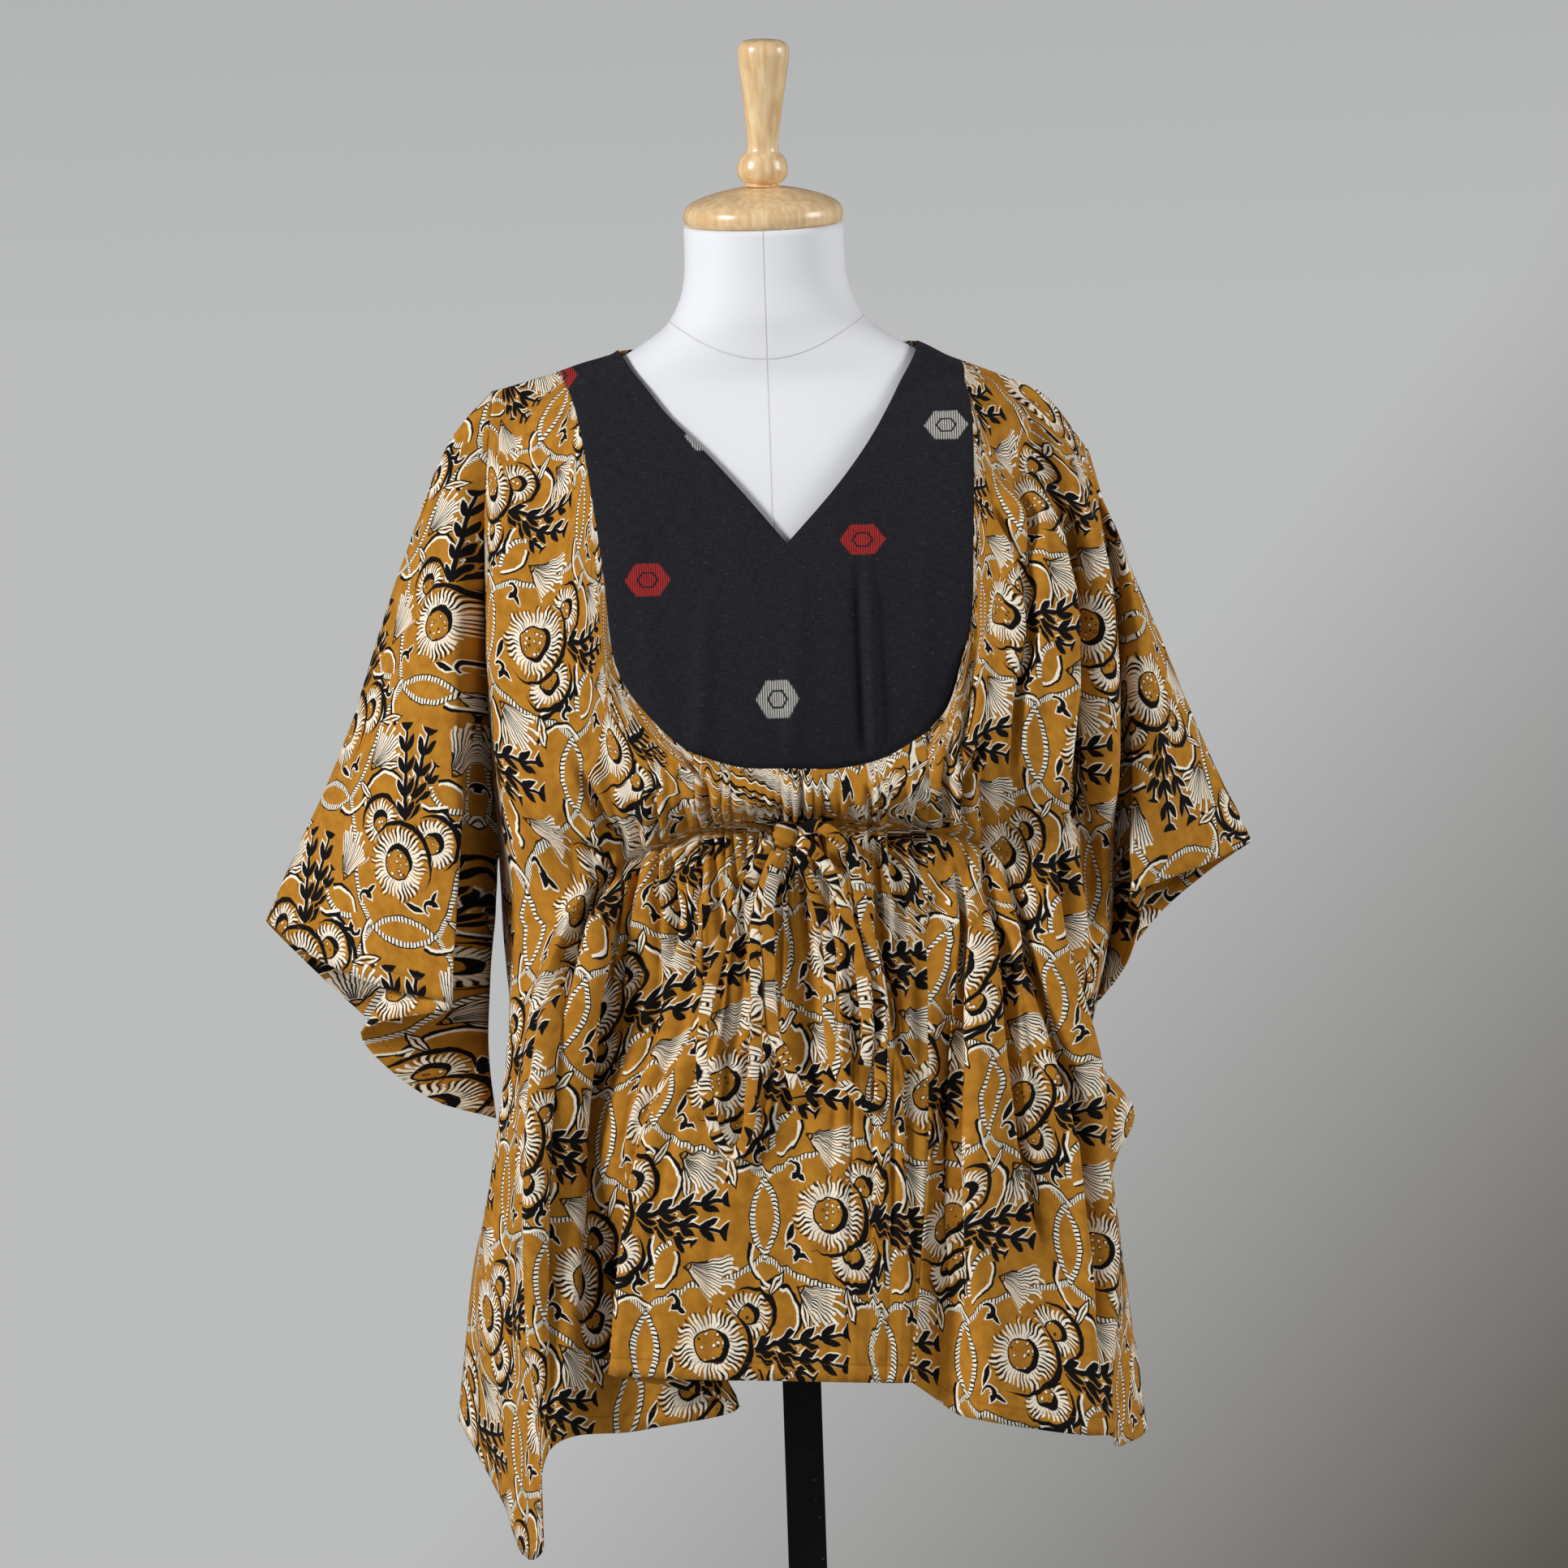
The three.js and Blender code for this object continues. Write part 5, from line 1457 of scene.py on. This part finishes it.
    def gathers(self, name: str, p: np.ndarray, down: np.ndarray) -> np.ndarray:
        """The pinched casing, the small gathers that leave it and the long folds below, in millimetres.

        Args:
            name: the piece.
            p: its points.
            down: how far each point lies below the piece's top edge.

        Returns:
            One height for each point.
        """
        waist = UNDERARM_ROW * self.finer_down
        below = down - down[:, [waist]]
        at = p[:, [waist]]
        side = np.sign(at[..., 0]) * np.clip(np.abs(at[..., 0]) / 90, 0, 1)
        girth = at[..., 0] + 0.55 * np.abs(at[..., 1]) * side
        girth = np.broadcast_to(girth, down.shape)
        near = np.abs(below)
        lap = np.clip(down / 30, 0, 1) * np.clip((240 - np.abs(girth)) / 60, 0, 1)
        gathered = np.exp(-(((at[..., 0] - CASING_MIDDLE) / 165) ** 6))
        sway = noise(np.stack([girth / 40, below / 160, below * 0], axis=-1), 21)
        chance = noise(np.stack([girth / 15, below / 110, below * 0], axis=-1), 22)
        tight = np.abs(np.sin(math.pi * (girth / self.gather_pitch + 0.5 * sway + 0.35 * chance))) - 0.3
        tight = tight * np.tanh(near / 6) * np.exp(-near / 38) * (1.1 + 0.6 * chance)
        loose = np.abs(np.sin(math.pi * (girth / self.drape_pitch + 0.4 * sway + 0.2))) - 0.35
        sides = 0.35 + 0.65 * np.clip((np.abs(girth - 20) - 70) / 60, 0, 1)
        lasting = 0.6 * sides * np.clip(below / 200, 0, 1)
        fall = np.clip(below / 50, 0, 1) * (np.exp(-((below / 190) ** 2)) + lasting)
        fall = fall + 0.6 * np.clip(-below / 30, 0, 1) * np.exp(np.minimum(below, 0) / 60)
        if name == "back":
            tight, gathered, loose = tight * 0.3, gathered * 0.0, loose * 0.7
        else:
            tight = tight * gathered
        height = lap * (self.gather * tight + self.drape * fall * loose * (0.75 + 0.6 * chance))
        return height - self.pinch * gathered * np.exp(-((below / 4.5) ** 2))

    def crease(self, p: np.ndarray) -> np.ndarray:
        """The depth of the sharp folds drawn on the front, in millimetres."""
        front = np.clip((-40 - p[..., 1]) / 30, 0, 1)
        height = np.zeros(p.shape[:2])
        for fold in self.creases:
            height = height + front * fold.height(p[..., 0], p[..., 2])
        return height

    def yoke_relief(self, p: np.ndarray) -> np.ndarray:
        """The yoke's own soft folds and its one sharp tuck, fading out towards its edges."""
        x, z = p[..., 0], p[..., 2]
        rows = np.linspace(0, 1, p.shape[1])[None, :]
        fade = np.clip(4 * rows * (1 - rows) * 2.2, 0, 1)
        height = np.zeros_like(x)
        for fold in YOKE_FOLDS:
            height = height + fold.height(x, z)
        soft = np.stack([x / 22, z * 0, z / 70], axis=-1)
        return fade * (height + 0.7 * noise(soft, 21))

    def share_normals(self) -> None:
        """Gives pieces that meet along a seam one direction of thickness there."""
        self.normals = {name: grid_normals(grid) for name, grid in self.grids.items()}
        places, spots = [], []
        for name, grid in self.grids.items():
            edge = np.zeros(grid.shape[:2], bool)
            edge[[0, -1], :] = True
            edge[:, [0, -1]] = True
            i, j = np.nonzero(edge)
            places.append(np.round(grid[i, j] * 20).astype(np.int64))
            spots.append((name, i, j))
        keys, inverse = np.unique(np.concatenate(places), axis=0, return_inverse=True)
        inverse = inverse.ravel()
        sums = np.zeros((len(keys), 3))
        np.add.at(sums, inverse, np.concatenate([self.normals[n][i, j] for n, i, j in spots]))
        start = 0
        for name, i, j in spots:
            total = sums[inverse[start:start + len(i)]]
            start += len(i)
            size = np.linalg.norm(total, axis=1, keepdims=True)
            own = self.normals[name][i, j]
            self.normals[name][i, j] = np.where(size > 0.2, total / np.maximum(size, 1e-9), own)

    def shape(self) -> None:
        """Lofts, settles and creases every piece."""
        self.grids["front_left"] = self.body_grid(FRONT_LEFT, (2,))
        self.grids["front_centre"] = self.body_grid(FRONT_CENTRE)
        self.grids["front_right"] = self.body_grid(FRONT_RIGHT, (5,))
        self.grids["back"] = self.body_grid(BACK, (3, 4, 8, 9))
        self.grids["yoke"] = self.yoke_grid()
        g = self.grids
        g["sleeve_left"] = self.sleeve_grid(SLEEVE_LEFT, g["front_left"][0], g["back"][-1])
        g["sleeve_right"] = self.sleeve_grid(SLEEVE_RIGHT, g["front_right"][-1], g["back"][0])
        for name in g:
            g[name] = self.settle(name, g[name])
        self.share_normals()
        for name in g:
            if name == "yoke":
                height = self.yoke_relief(g[name])
            else:
                height = self.relief(name, g[name])
            if name.startswith("front"):
                height = height + self.crease(g[name])
            g[name] = clear_of_form(g[name] + self.normals[name] * height[..., None], NEAREST, 4)

    def cloth_places(self, name: str, grid: np.ndarray) -> np.ndarray:
        """Where each point of a piece lies on its flat cloth, in metres, with the print upright.

        Args:
            name: the piece.
            grid: its smooth grid in millimetres.

        Returns:
            One (u, v) pair for each grid point, in vertex order.
        """
        if name == "yoke":
            pair = np.stack([grid[..., 0], grid[..., 2]], axis=-1)
        elif name.startswith("sleeve"):
            turn = -1 if name == "sleeve_left" else 1
            lay = self.sleeve_lays[name]
            fall = np.array([turn * math.sin(lay.lean), 0.0, -math.cos(lay.lean)])
            out = np.array([turn * math.cos(lay.lean), 0.0, math.sin(lay.lean)])
            flat = grid - (grid @ fall)[..., None] * fall
            ring = lengths(flat, 0)
            fold = ring.shape[0] // 2
            ring = ring - ring[fold] + turn * (grid[fold] @ out)
            pair = np.stack([(grid @ fall) * turn + lay.u, ring * turn + lay.v], axis=-1)
        else:
            lay = self.body_lays[name]
            waist = UNDERARM_ROW * self.finer_down
            across, down = lengths(grid, 0), lengths(grid, 1)
            across = across - across[across.shape[0] // 2]
            full = 1 + 0.30 * np.exp(-(((grid[..., 2] - CASING_HEIGHT) / 48) ** 2))
            above = down[:, [waist]] - down
            slip = np.clip(above / 50, 0, 1)
            u = across * full + lay.u + lay.slip_u * slip
            v = above + lay.v + lay.slip_v * slip
            pair = np.stack([u, v], axis=-1)
        return (pair * MM).reshape(-1, 2)

    def build(self, printed: bpy.types.Material, handloom: bpy.types.Material) -> list[bpy.types.Object]:
        """Args:
            printed: the printed cotton.
            handloom: the yoke's cotton.

        Returns:
            The new objects.
        """
        self.shape()
        made = []
        for name, grid in self.grids.items():
            places = self.cloth_places(name, grid)
            hem = lengths(grid, 1)
            hem = hem[:, -1:] - hem
            if name == "yoke":
                hem = hem * 0.0
            edge = np.stack([hem, hem * 0.0], axis=-1).reshape(-1, 2) * MM
            finish = handloom if name == "yoke" else printed
            faces = grid_faces(*grid.shape[:2])
            layers = {"print": places, "hem": edge}
            piece = add_mesh(f"cloth_{name}", grid.reshape(-1, 3), faces, finish, layers)
            wall = piece.modifiers.new("wall", "SOLIDIFY")
            wall.thickness = self.wall * MM
            wall.offset = 0.0
            seat(piece, [name])
            legs_a = np.diff(grid, axis=0)[:, :-1]
            legs_d = np.diff(grid, axis=1)[:-1]
            area = np.linalg.norm(np.cross(legs_a, legs_d), axis=2).sum() * 1e-6
            log.info("%s: %d points, %.4f m2 of cloth", name, grid.shape[0] * grid.shape[1], area)
            made.append(piece)
        return made

    def front_depth(self, x: float, z: float) -> float:
        """The foremost cloth near a place seen from the front, in millimetres."""
        best = 0.0
        for name in ("front_left", "front_centre", "front_right"):
            grid = self.grids[name]
            near = (np.abs(grid[..., 0] - x) < 8) & (np.abs(grid[..., 2] - z) < 9)
            if near.any():
                best = min(best, float(grid[..., 1][near].min()))
        return best - self.wall / 2


@dataclass(frozen=True)
class Ribbon:
    """One hanging run of the drawstring tie: its line seen from the front and how it lies.

    Attributes:
        name: the node it stands for.
        line: points across and up, in millimetres.
        layer: how many runs lie under it.
        looped: whether its far end goes back into the knot.
        twists: how far it turns on its own line, in degrees, and how often.
    """

    name: str
    line: tuple[tuple[float, float], ...]
    layer: int
    looped: bool
    twists: tuple[float, float]


@dataclass
class Ties:
    """The drawstring's bow: two loops, two ends and the knot, all of the printed cotton.

    Attributes:
        width: the ribbon's width in millimetres.
        wall: the ribbon's thickness.
        lift: how far the lowest run hangs in front of the cloth.
        layer: how much farther each next run hangs.
        ribbons: the four runs.
    """

    width: float = 9.0
    wall: float = 1.7
    lift: float = 4.5
    layer: float = 2.6
    ribbons: tuple[Ribbon, ...] = (
        Ribbon("tie_loop_left", TIE_LOOP_LEFT, 0, True, (24.0, 2.3)),
        Ribbon("tie_end_left", TIE_END_LEFT, 1, False, (20.0, 1.4)),
        Ribbon("tie_loop_right", TIE_LOOP_RIGHT, 0, True, (22.0, 2.0)),
        Ribbon("tie_end_right", TIE_END_RIGHT, 1, False, (18.0, 1.1)),
    )

    def middle_line(self, ribbon: Ribbon, kaftan: Kaftan) -> np.ndarray:
        """The ribbon's centreline in front of the cloth, in millimetres."""
        count = len(ribbon.line) - 1
        flat = [(x, 0.0, z) for x, z in ribbon.line]
        depth = np.array([kaftan.front_depth(x, z) for x, z in ribbon.line])
        padded = np.pad(depth, 1, mode="edge")
        depth = np.minimum(np.minimum(padded[:-2], padded[1:-1]), padded[2:])
        hang = depth - self.lift - self.wall / 2 - ribbon.layer * self.layer
        at = np.linspace(0, count, count * 5 + 1)
        mid = curve(flat, at)
        mid[:, 1] = np.interp(at, np.arange(count + 1), hang)
        return mid

    def ribbon_mesh(self, ribbon: Ribbon, mid: np.ndarray, finish: bpy.types.Material) -> bpy.types.Object:
        """Meshes one ribbon as a flat tube with rounded edges.

        Args:
            ribbon: the run to draw.
            mid: its centreline.
            finish: the printed cotton.

        Returns:
            The new object.
        """
        along = np.gradient(mid, axis=0)
        along /= np.linalg.norm(along, axis=1, keepdims=True)
        side = np.cross(along, np.array([0.0, -1.0, 0.0]))
        side /= np.linalg.norm(side, axis=1, keepdims=True)
        out = np.cross(side, along)
        run = lengths(mid[:, None], 0)[:, 0]
        turn, often = ribbon.twists
        angle = math.radians(turn) * np.sin(run / run[-1] * math.tau * often)
        c, s = np.cos(angle)[:, None], np.sin(angle)[:, None]
        side, out = side * c + out * s, out * c - side * s
        ring = 16
        a = np.arange(ring) / ring * math.tau
        thin = 1 + 0.10 * noise(np.stack([run / 9, run * 0, run * 0], axis=-1), 31)[:, None]
        w = (self.width / 2) * np.sign(np.cos(a)) * np.abs(np.cos(a)) ** 0.55
        h = (self.wall / 2) * np.sign(np.sin(a)) * np.abs(np.sin(a)) ** 0.7
        fold = 0.5 * np.exp(-((np.cos(a) * 2.2) ** 2))
        points = mid[:, None] + side[:, None] * (w[None, :] * thin)[..., None]
        points = points + out[:, None] * (h * (1 + fold))[None, :, None]
        count = len(mid)
        points = points.transpose(1, 0, 2).reshape(-1, 3)
        round_run = np.cumsum(np.full(ring, self.width * 2 / ring))
        start = 20.0 * len(ribbon.name)
        u = np.repeat(round_run, count) + start
        v = np.tile(-run, ring) + start
        caps = [[k * count for k in range(ring)], [k * count + count - 1 for k in range(ring)][::-1]]
        faces = grid_faces(ring, count, ring=True).tolist() + caps
        return add_mesh(f"cloth_{ribbon.name}", points, faces, finish, {"print": np.stack([u, v], -1) * MM})

    def knot(self, finish: bpy.types.Material) -> bpy.types.Object:
        """Meshes the knot as a small wrapped bundle."""
        low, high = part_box("tie_knot")
        middle = np.array((low + high) / 2) / MM
        half = np.array((high - low) / 2) / MM
        ring, tall = 48, 33
        a = (np.arange(ring) / ring * math.tau)[:, None]
        b = (np.linspace(-0.5, 0.5, tall) * math.pi)[None, :]

        def boxy(value: np.ndarray, power: float) -> np.ndarray:
            """A sine or cosine squared off."""
            return np.sign(value) * np.abs(value) ** power

        x = boxy(np.cos(a), 0.75) * boxy(np.cos(b), 0.7)
        y = boxy(np.sin(a), 0.75) * boxy(np.cos(b), 0.7)
        z = boxy(np.sin(b), 0.8) * np.ones_like(a)
        p = np.stack([x, y, z], axis=-1)
        slant = p[..., 2] * 4.2 + p[..., 0] * 1.5
        groove = 1 - 0.16 * np.abs(np.cos(slant)) ** 8 + 0.05 * noise(p * 2.4, 41)
        points = middle + p * half * groove[..., None]
        u, v = np.broadcast_arrays(a * 4.0, b * 9.0)
        places = (np.stack([u, v], -1).reshape(-1, 2) + 33.0) * MM
        faces = grid_faces(ring, tall, ring=True)
        return add_mesh("cloth_tie_knot", points.reshape(-1, 3), faces, finish, {"print": places})

    def build(self, kaftan: Kaftan, finish: bpy.types.Material) -> None:
        for ribbon in self.ribbons:
            mid = self.middle_line(ribbon, kaftan)
            piece = self.ribbon_mesh(ribbon, mid, finish)
            seat(piece, [ribbon.name])
            path = mid * MM
        knot = self.knot(finish)
        seat(knot, ["tie_knot"])
        log.info("tie_knot: added")


@dataclass
class DressForm:
    """The limbless form: covered torso, turned cap and finial, post and base.

    Attributes:
        rings: levels of the torso's mesh.
        sides: facets round the torso.
        post_side: the square post's width in millimetres.
        base_radius: of the round base.
        base_height: the base's thickness.
        turned_sides: facets round the cap and the finial.
        base_sides: facets round the base.
        neck_start: the height at which the torso begins to lean into the neck.
        seat_gap: the gap between two parts that rest on each other.
    """

    rings: int = 168
    sides: int = 144
    post_side: float = 27.0
    base_radius: float = 200.0
    base_height: float = 12.0
    turned_sides: int = 96
    base_sides: int = 128
    neck_start: float = 1400.0
    seat_gap: float = 0.3

    def torso(self, finish: bpy.types.Material) -> bpy.types.Object:
        """The covered torso, drawn from its levels."""
        top = NECK_TOP[2]
        z = np.linspace(FORM_BOTTOM, top, self.rings)
        w, front, back, middle, power = (v[None, :] for v in section_at(z))
        a = (np.arange(self.sides) / self.sides * math.tau)[:, None]
        c, d = np.cos(a), np.sin(a)
        x = w * np.sign(c) * np.abs(c) ** (2 / power)
        depth = np.where(d < 0, front, back)
        off = depth * np.sign(d) * np.abs(d) ** (2 / power)
        rise = np.clip((z - self.neck_start) / (top - self.neck_start), 0, 1)
        lean = (rise * rise * (3 - 2 * rise) * math.tan(NECK_TILT))[None, :]
        p = np.stack([x, middle + off, z[None, :] + off * lean], axis=-1)
        n = self.rings
        caps = [[k * n for k in range(self.sides)][::-1], [k * n + n - 1 for k in range(self.sides)]]
        faces = grid_faces(self.sides, n, ring=True)[:, ::-1].tolist() + caps
        piece = add_mesh("torso_cover", p.reshape(-1, 3), faces, finish)
        piece.data.polygons.foreach_set("use_smooth", [True] * (len(faces) - len(caps)) + [False] * len(caps))
        return piece

    def lathe(
        self, name: str, profile: Sequence[Sequence[float]], finish: bpy.types.Material, place: Matrix
    ) -> bpy.types.Object:
        """Turns a profile of (radius, height) pairs about its own axis.

        Args:
            name: the object's name.
            profile: the outline from the bottom axis point to the top axis point, in millimetres.
            finish: its material.
            place: where its axis stands, in metres.

        Returns:
            The new object.
        """
        count = len(profile) - 1
        line = curve([(r, 0, z) for r, z in profile], np.linspace(0, count, count * 7 + 1))
        sides = self.turned_sides
        a = (np.arange(sides) / sides * math.tau)[:, None]
        r = np.clip(line[None, :, 0], 0.0, None)
        up = np.broadcast_to(line[None, :, 2], (sides, len(line)))
        p = np.stack([r * np.cos(a), r * np.sin(a), up], -1)
        faces = grid_faces(sides, len(line), ring=True)[:, ::-1]
        piece = add_mesh(name, p.reshape(-1, 3), faces, finish)
        piece.data.transform(place)
        return piece

    def box(
        self, name: str, low: Point, high: Point, bevel: float, finish: bpy.types.Material
    ) -> bpy.types.Object:
        """A bevelled square bar between two corners, in millimetres."""
        corners = [(x, y, z) for x in (low[0], high[0]) for y in (low[1], high[1]) for z in (low[2], high[2])]
        faces = [(0, 1, 3, 2), (4, 6, 7, 5), (0, 4, 5, 1), (2, 3, 7, 6), (0, 2, 6, 4), (1, 5, 7, 3)]
        piece = add_mesh(name, np.array(corners, float), np.array(faces), finish)
        piece.data.polygons.foreach_set("use_smooth", [False] * 6)
        edge = piece.modifiers.new("edge", "BEVEL")
        edge.width = bevel * MM
        edge.segments = 3
        return piece

    def build(self, cover: bpy.types.Material, wood: bpy.types.Material, paint: bpy.types.Material) -> None:
        """Adds every part of the form.

        Args:
            cover: the torso's cloth.
            wood: the cap's and finial's varnished wood.
            paint: the post's and base's paint.
        """
        seat(self.torso(cover), ["form_torso"])
        crown = Matrix.Translation(Vector(NECK_TOP) * MM) @ Matrix.Rotation(NECK_TILT, 4, "X")
        cap = self.lathe("neck_cap", CAP_PROFILE, wood, crown)
        seat(cap, ["form_cap"])
        foot = FINIAL_PROFILE[0][1]
        lift = Matrix.Translation((0, 0, (foot + self.seat_gap) * MM))
        lean = crown @ lift @ Matrix.Rotation(KNOB_LEAN, 4, "Y")
        knob = [(r, z - foot) for r, z in FINIAL_PROFILE]
        seat(self.lathe("finial", knob, wood, lean), ["form_finial"])
        h = self.post_side / 2
        top, foot_z = FORM_BOTTOM - self.seat_gap, self.base_height + self.seat_gap
        post = self.box("post", (-h, -h, foot_z), (h, h, top), 2.0, paint)
        seat(post, ["form_pole"])
        r, t = self.base_radius, self.base_height
        profile = ((0, 0), (r - 1, 0), (r, 1), (r, t - 4), (r - 4, t), (0, t))
        base = self.base(profile, paint)
        seat(base, ["form_base"])
        log.info("dress form: torso, cap, finial, post and base")

    def base(self, profile: Sequence[tuple[float, float]], finish: bpy.types.Material) -> bpy.types.Object:
        """The plain round base, with straight runs between its corners."""
        sides = self.base_sides
        a = (np.arange(sides) / sides * math.tau)[:, None]
        line = np.array(profile, float)[None]
        p = np.stack([line[..., 0] * np.cos(a), line[..., 0] * np.sin(a), line[..., 1] + a * 0], -1)
        faces = grid_faces(sides, len(profile), ring=True)[:, ::-1]
        piece = add_mesh("base", p.reshape(-1, 3), faces, finish)
        piece.data.polygons.foreach_set("use_smooth", np.zeros(len(piece.data.polygons), bool))
        return piece


# ---- the studio -----------------------------------------------------------------------------------------


@dataclass(frozen=True)
class SoftLamp:
    """One soft square light: its place, its aim and its side in metres, and its strength in watts."""

    name: str
    place: Point
    aim: Point
    side: float
    watts: float

    def build(self) -> None:
        """Adds the light, turned to its aim."""
        data = bpy.data.lights.new(self.name, "AREA")
        data.size = self.side
        data.energy = self.watts
        lamp = bpy.data.objects.new(self.name, data)
        lamp.location = self.place
        lamp.rotation_euler = (Vector(self.aim) - Vector(self.place)).to_track_quat("-Z", "Y").to_euler()
        bpy.context.scene.collection.objects.link(lamp)


@dataclass
class Studio:
    """A plain pale floor, soft light and the camera.

    Attributes:
        distance: from the form to the eye, in metres.
        eye: the eye's height in metres.
        frame_width: how much the frame takes in at the form, in metres.
        frame_middle: the middle of the frame across and up, in metres.
        roll: how far the camera is turned about its own axis.
        sensor: the camera's sensor width in millimetres.
        room_light: the strength of the even light.
        dome_radius: of the grey surround, in millimetres.
        shade_reach: the distance over which the surround's painted shade changes.
        shade_middle: the height that the painted shade is measured from.
        floor_radius: of the floor, in millimetres.
    """

    distance: float = 6.5
    eye: float = 1.15
    frame_width: float = 1.1013
    frame_middle: tuple[float, float] = (0.0014, 1.073)
    roll: float = math.radians(1.9)
    sensor: float = 36.0
    room_light: float = 0.19
    dome_radius: float = 16000.0
    shade_reach: float = 3800.0
    shade_middle: float = 880.0
    floor_radius: float = 3400.0
    # The surround's grey, with painted shade towards the top and painted shade towards the lower right.
    top_shade_grey: Colour = linear(172, 173, 175)
    low_grey: Colour = linear(187, 188, 188)
    shaded_grey: Colour = linear(92, 87, 81)
    lamps: tuple[SoftLamp, ...] = (
        SoftLamp("key", (-3.6, -2.5, 3.0), (0, 0, 1.15), 1.1, 203),
        SoftLamp("fill", (2.6, -4.2, 1.9), (0, 0, 1.0), 2.2, 20),
        SoftLamp("rim", (2.8, -0.6, 2.2), (0, 0, 1.25), 1.2, 50),
    )

    def ambient(self) -> None:
        """Fills the room with a dim even light."""
        world = bpy.data.worlds.new("studio")
        world.use_nodes = True
        shade = world.node_tree.nodes["Background"]
        shade.inputs["Color"].default_value = linear(196, 200, 206)
        shade.inputs["Strength"].default_value = self.room_light
        bpy.context.scene.world = world

    def backdrop(self) -> None:
        """Adds the grey surround: a glowing shell that lights nothing, with painted shade that darkens it
        towards the lower right and towards the top.
        """
        finish = Finish("backdrop", 1.0)
        x, y, z = finish.place()
        across, up = x * (1 / self.shade_reach), (z - self.shade_middle) * (1 / self.shade_reach)
        # Painted shade: the surround darkens towards the lower right, behind the form.
        shade = (across - up * 0.9).times_plus(1.33, -0.24, clamp=True) * y.above(0.0, 4000.0)
        # Painted shade: the surround darkens towards the top.
        high = up.times_plus(2.6, -0.75, clamp=True)
        colour = finish.mix(high, self.low_grey, self.top_shade_grey)
        colour = finish.mix(shade, colour, self.shaded_grey)
        # The surround glows in these colours, so its painted shade is seen by the camera alone.
        glow = finish.tree.nodes.new("ShaderNodeEmission")
        finish.tree.links.new(colour, glow.inputs["Color"])
        finish.tree.links.new(glow.outputs[0], finish.tree.nodes["Material Output"].inputs["Surface"])
        a = (np.arange(64) / 64 * math.tau)[:, None]
        b = (np.linspace(-0.5, 0.5, 33) * math.pi)[None, :]
        p = np.stack([np.cos(a) * np.cos(b), np.sin(a) * np.cos(b), np.sin(b) + a * 0], -1)
        p = p * self.dome_radius
        dome = add_mesh("backdrop", p.reshape(-1, 3), grid_faces(64, 33, ring=True), finish.material)
        dome.visible_diffuse = False
        dome.visible_glossy = False
        dome.visible_shadow = False
        dome.visible_transmission = False

    def floor(self) -> None:
        """Adds the floor, a plain round sheet."""
        a = np.arange(96) / 96 * math.tau
        ring = np.stack([np.cos(a) * self.floor_radius, np.sin(a) * self.floor_radius, a * 0 - 0.5], -1)
        material = Finish("floor", 0.7)
        material.colour(linear(196, 198, 201))
        sheet = add_mesh("floor", ring, np.arange(96)[None, :], material.material)

    def camera(self) -> None:
        """Adds the camera at the viewing height, rolled so that the form leans a little."""
        x, z = self.frame_middle
        eye = Vector((x, -self.distance, self.eye))
        ahead = (Vector((x, 0, z)) - eye).normalized()
        right = Vector((1, 0, 0))
        up = right.cross(ahead)
        c, s = math.cos(self.roll), math.sin(self.roll)
        right, up = right * c - up * s, right * s + up * c
        data = bpy.data.cameras.new("camera")
        data.sensor_width = self.sensor
        data.lens = self.sensor * (Vector((x, 0, z)) - eye).length / self.frame_width
        data.clip_start, data.clip_end = 0.1, 100.0
        camera = bpy.data.objects.new("camera", data)
        camera.matrix_world = Matrix.Translation(eye) @ Matrix((
            (right.x, up.x, -ahead.x, 0),
            (right.y, up.y, -ahead.y, 0),
            (right.z, up.z, -ahead.z, 0),
            (0, 0, 0, 1),
        ))
        bpy.context.scene.collection.objects.link(camera)
        bpy.context.scene.camera = camera

    def build(self) -> None:
        """Adds the backdrop, floor, lights and camera."""
        self.ambient()
        self.backdrop()
        self.floor()
        for lamp in self.lamps:
            lamp.build()
        bpy.context.scene.view_settings.view_transform = "Standard"
        self.camera()


def main() -> None:
    """Builds the garment, its ties, the form and the studio."""
    logging.basicConfig(level=logging.INFO, format="%(message)s", stream=sys.stdout)
    printed = PrintedCotton().build()
    handloom = Handloom().build()
    kaftan = Kaftan()
    kaftan.build(printed, handloom)
    Ties().build(kaftan, printed)
    DressForm().build(FormCover().build(), TurnedWood().build(), BlackPaint().build())
    Studio().build()


if __name__ == "__main__":
    main()
